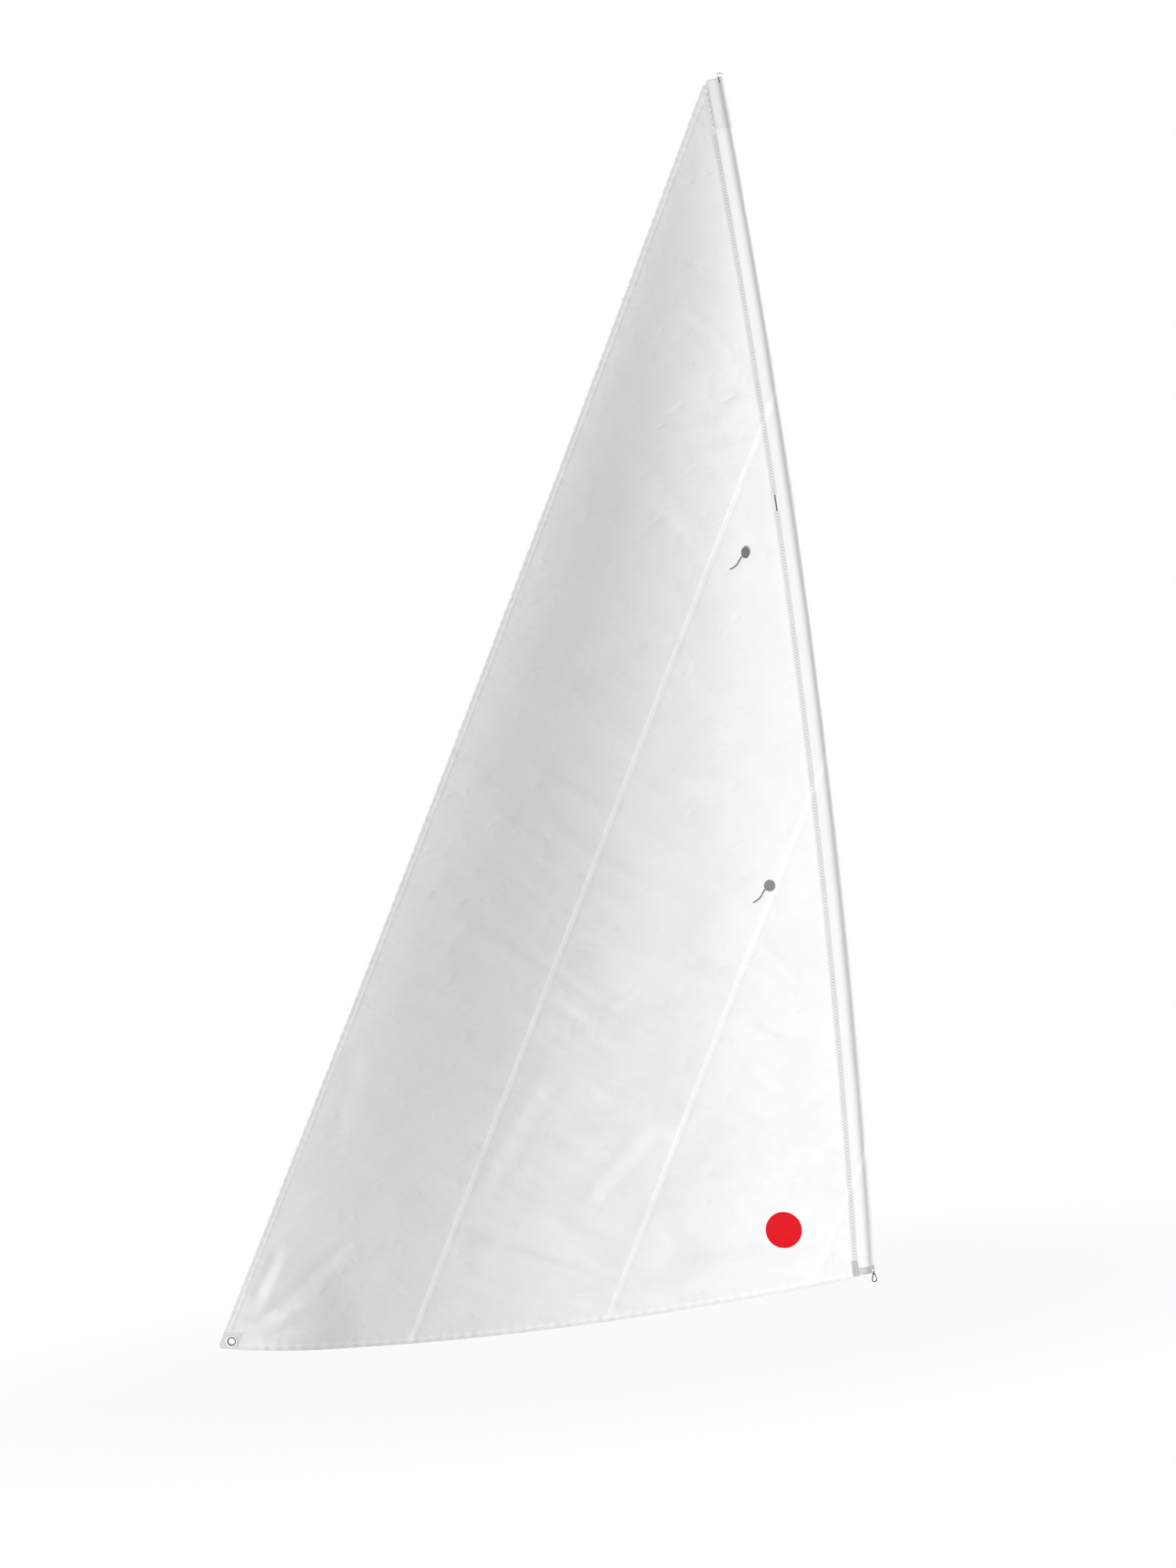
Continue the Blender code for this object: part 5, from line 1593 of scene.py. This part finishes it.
def disc_mesh(name, centre, halves, side, rings=14, segments=64):
    """A thin disc that follows the cloth's face."""
    shares = np.linspace(0.0, 1.0, rings + 1)[1:]
    angles = 2.0 * math.pi * np.arange(segments) / segments
    x = centre[0] + halves[0] * shares[:, None] * np.cos(angles)[None, :]
    z = centre[1] + halves[1] * shares[:, None] * np.sin(angles)[None, :]
    under = surface_under(x, z, side)
    middle = float(surface_under(np.array([centre[0]]), np.array([centre[1]]), side)[0])
    lift = STICKER_THICKNESS / 2.0 + STICKER_PROUD
    vertices = [(centre[0], middle - side * lift, centre[1])]
    vertices += list(zip(x.ravel(), (under - side * lift).ravel(), z.ravel()))
    faces = [(0, 1 + (number + 1) % segments, 1 + number) for number in range(segments)]
    faces += grid_faces(rings, segments, ringed=True, first=1)
    uvs = [(place[0], place[2]) for place in vertices]
    made = fresh_mesh(name, vertices, facing_front(vertices, faces), uvs)
    return thickened(made, STICKER_THICKNESS)


STICKER_THICKNESS = 0.0005
STICKER_PROUD = 0.0005


# Places along each yarn, from its disc's centre
YARN_RUNS = {
    "upper": ((-0.0135, -0.0095), (-0.0262, -0.0254), (-0.0338, -0.0356), (-0.0425, -0.0429),
              (-0.0544, -0.0488), (-0.0639, -0.0534)),
    "lower": ((-0.0190, -0.0116), (-0.0270, -0.0201), (-0.0342, -0.0318), (-0.0435, -0.0412),
              (-0.0532, -0.0475), (-0.0679, -0.0545)),
}


def smooth_run(points, count):
    """Points spaced along a smooth curve through the given ones."""
    points = np.asarray(points, float)
    pieces = len(points) - 1
    run = []
    for number in range(count):
        place = number / (count - 1) * pieces
        index = min(int(place), pieces - 1)
        t = place - index
        p0, p1 = points[max(index - 1, 0)], points[index]
        p2, p3 = points[index + 1], points[min(index + 2, pieces)]
        run.append(0.5 * ((2.0 * p1) + (p2 - p0) * t + (2.0 * p0 - 5.0 * p1 + 4.0 * p2 - p3) * t * t
                          + (3.0 * p1 - p0 - 3.0 * p2 + p3) * t**3))
    return np.array(run)


def yarn_path(level, centre, halves, node):
    """The yarn's centreline: its route over the cloth, at the height at which its solid lies."""
    way = np.array(YARN_RUNS[level][0])
    way = way / np.hypot(*way)
    edge = 1.0 / math.hypot(way[0] / halves[0], way[1] / halves[1])
    route = [tuple(way * (edge + YARN_START_GAP))] + list(YARN_RUNS[level][1:])
    flat = smooth_run(route, 16) + np.array(centre)
    corners = np.array([vertex.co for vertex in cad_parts[node].data.vertices])
    corners = np.unique(np.round(corners, 6), axis=0)
    ways = np.gradient(flat, axis=0)
    ways /= np.linalg.norm(ways, axis=1, keepdims=True)
    path = []
    for place, along in zip(flat, ways):
        off = corners[:, [0, 2]] - place
        ring = (np.abs(off @ along) < RING_NEAR) & (np.linalg.norm(off, axis=1) < RING_REACH)
        path.append((place[0], corners[ring, 1].mean(), place[1]))
    return np.array(path)


class SAIL_OT_telltales(bpy.types.Operator):
    """Lay the telltales' yarns and stick down their discs, on both faces"""

    bl_idname = "sail.telltales"
    bl_label = "Telltales"

    def execute(self, context):
        yarn = cord_material("Dark yarn", (0.045, 0.045, 0.05), 260.0)
        film = film_material("Telltale film", looks().telltale_color)
        grey = film_material("Grey telltale film", GREY_FILM)
        for level, centre, halves in (("upper", UPPER_DISC, UPPER_DISC_HALVES),
                                      ("lower", LOWER_DISC, LOWER_DISC_HALVES)):
            for face, side in (("front", 1.0), ("back", -1.0)):
                name = f"telltale_{level}_{face}"
                path = yarn_path(level, centre, halves, name + "_yarn")
                made = self.make_yarn(f"{level}_{face}_telltale_yarn", path)
                dress(made, f"{level}_{face}_yarn", yarn, "yarn", name + "_yarn")
                disc = disc_mesh(f"{level}_{face}_telltale_disc", centre, halves, side)
                dress(disc, "sail", film if level == "upper" else grey, "telltale_film", name + "_disc")
        return {"FINISHED"}

    def make_yarn(self, name, path):
        count, sides = 61, 10
        fine = smooth_run(path, count)
        share = np.linspace(0.0, 1.0, count)
        narrowing = 0.5 * np.exp(-((share / 0.03) ** 2)) + 0.35 * smoothstep((share - 0.93) / 0.07)
        radius = YARN_RADIUS * (1.0 - narrowing) * (1.0 + 0.05 * np.sin(np.arange(count) * 2.4))
        vertices, faces = tube(fine, radius, sides=sides)
        uvs = [(side / sides, length) for length in run_lengths(fine) for side in range(sides)]
        return faced_outward(fresh_mesh(name, vertices, faces, uvs))


# Corners of a yarn's solid that belong to one place: how near along the yarn and how far from it
RING_NEAR, RING_REACH = 0.0012, 0.0024
GREY_FILM = (0.16, 0.16, 0.165)


class SAIL_OT_class_patch(bpy.types.Operator):
    """Stick down the plain round patch near the tack"""

    bl_idname = "sail.class_patch"
    bl_label = "Round patch"

    def execute(self, context):
        halves = (CLASS_DISC_RADIUS, CLASS_DISC_RADIUS)
        made = disc_mesh("round_class_patch", CLASS_DISC, halves, 1.0)
        surface = film_material("Red insignia film", looks().disc_color, 0.6, 0.1)
        dress(made, "sail", surface, "red_film", "class_disc")
        return {"FINISHED"}


class SAIL_OT_fittings(bpy.types.Operator):
    """Give the eyelet, the hook, its gate and its rivet their metal and plastic"""

    bl_idname = "sail.fittings"
    bl_label = "Fittings"

    def execute(self, context):
        # The eyelet's paler outer rim is a painted highlight
        brass = metal_material("Dark eyelet metal", (0.07, 0.07, 0.073), highlight_rim_from=0.0158)
        plastic = plastic_material("Black hook plastic", (0.022, 0.022, 0.024))
        steel = metal_material("Rivet steel", (0.55, 0.55, 0.56), 0.3)
        for node, surface in (("clew_eyelet", brass), ("clew_eyelet_ring", brass), ("hook_body", plastic),
                              ("hook_gate", plastic), ("hook_rivet", steel)):
            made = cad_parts[node]
            made.data.materials.clear()
            made.data.materials.append(surface)
        return {"FINISHED"}


ORDER = (SAIL_OT_stage, SAIL_OT_telltales, SAIL_OT_panels, SAIL_OT_sleeve, SAIL_OT_head_cap, SAIL_OT_tapes,
         SAIL_OT_patches, SAIL_OT_stitching, SAIL_OT_tack, SAIL_OT_head_loop, SAIL_OT_class_patch,
         SAIL_OT_fittings)


class SAIL_PT_panel(bpy.types.Panel):
    """Lists the sail's sizes, colours and pieces"""

    bl_label = "Dinghy sail"
    bl_idname = "SAIL_PT_panel"
    bl_space_type = "VIEW_3D"
    bl_region_type = "UI"
    bl_category = "Sail"

    def draw(self, context):
        for name in SailLooks.__annotations__:
            self.layout.prop(context.scene.sail_looks, name)
        for operator in ORDER:
            self.layout.operator(operator.bl_idname)


def register():
    bpy.utils.register_class(SailLooks)
    bpy.types.Scene.sail_looks = bpy.props.PointerProperty(type=SailLooks)
    for operator in ORDER:
        bpy.utils.register_class(operator)
    bpy.utils.register_class(SAIL_PT_panel)


def unregister():
    bpy.utils.unregister_class(SAIL_PT_panel)
    for operator in reversed(ORDER):
        bpy.utils.unregister_class(operator)
    del bpy.types.Scene.sail_looks
    bpy.utils.unregister_class(SailLooks)


def main():
    register()
    bpy.ops.sail.stage()
    bpy.ops.sail.telltales()
    bpy.ops.sail.panels()
    bpy.ops.sail.sleeve()
    bpy.ops.sail.head_cap()
    bpy.ops.sail.tapes()
    bpy.ops.sail.patches()
    bpy.ops.sail.stitching()
    bpy.ops.sail.tack()
    bpy.ops.sail.head_loop()
    bpy.ops.sail.class_patch()
    bpy.ops.sail.fittings()


if __name__ == "__main__":
    main()
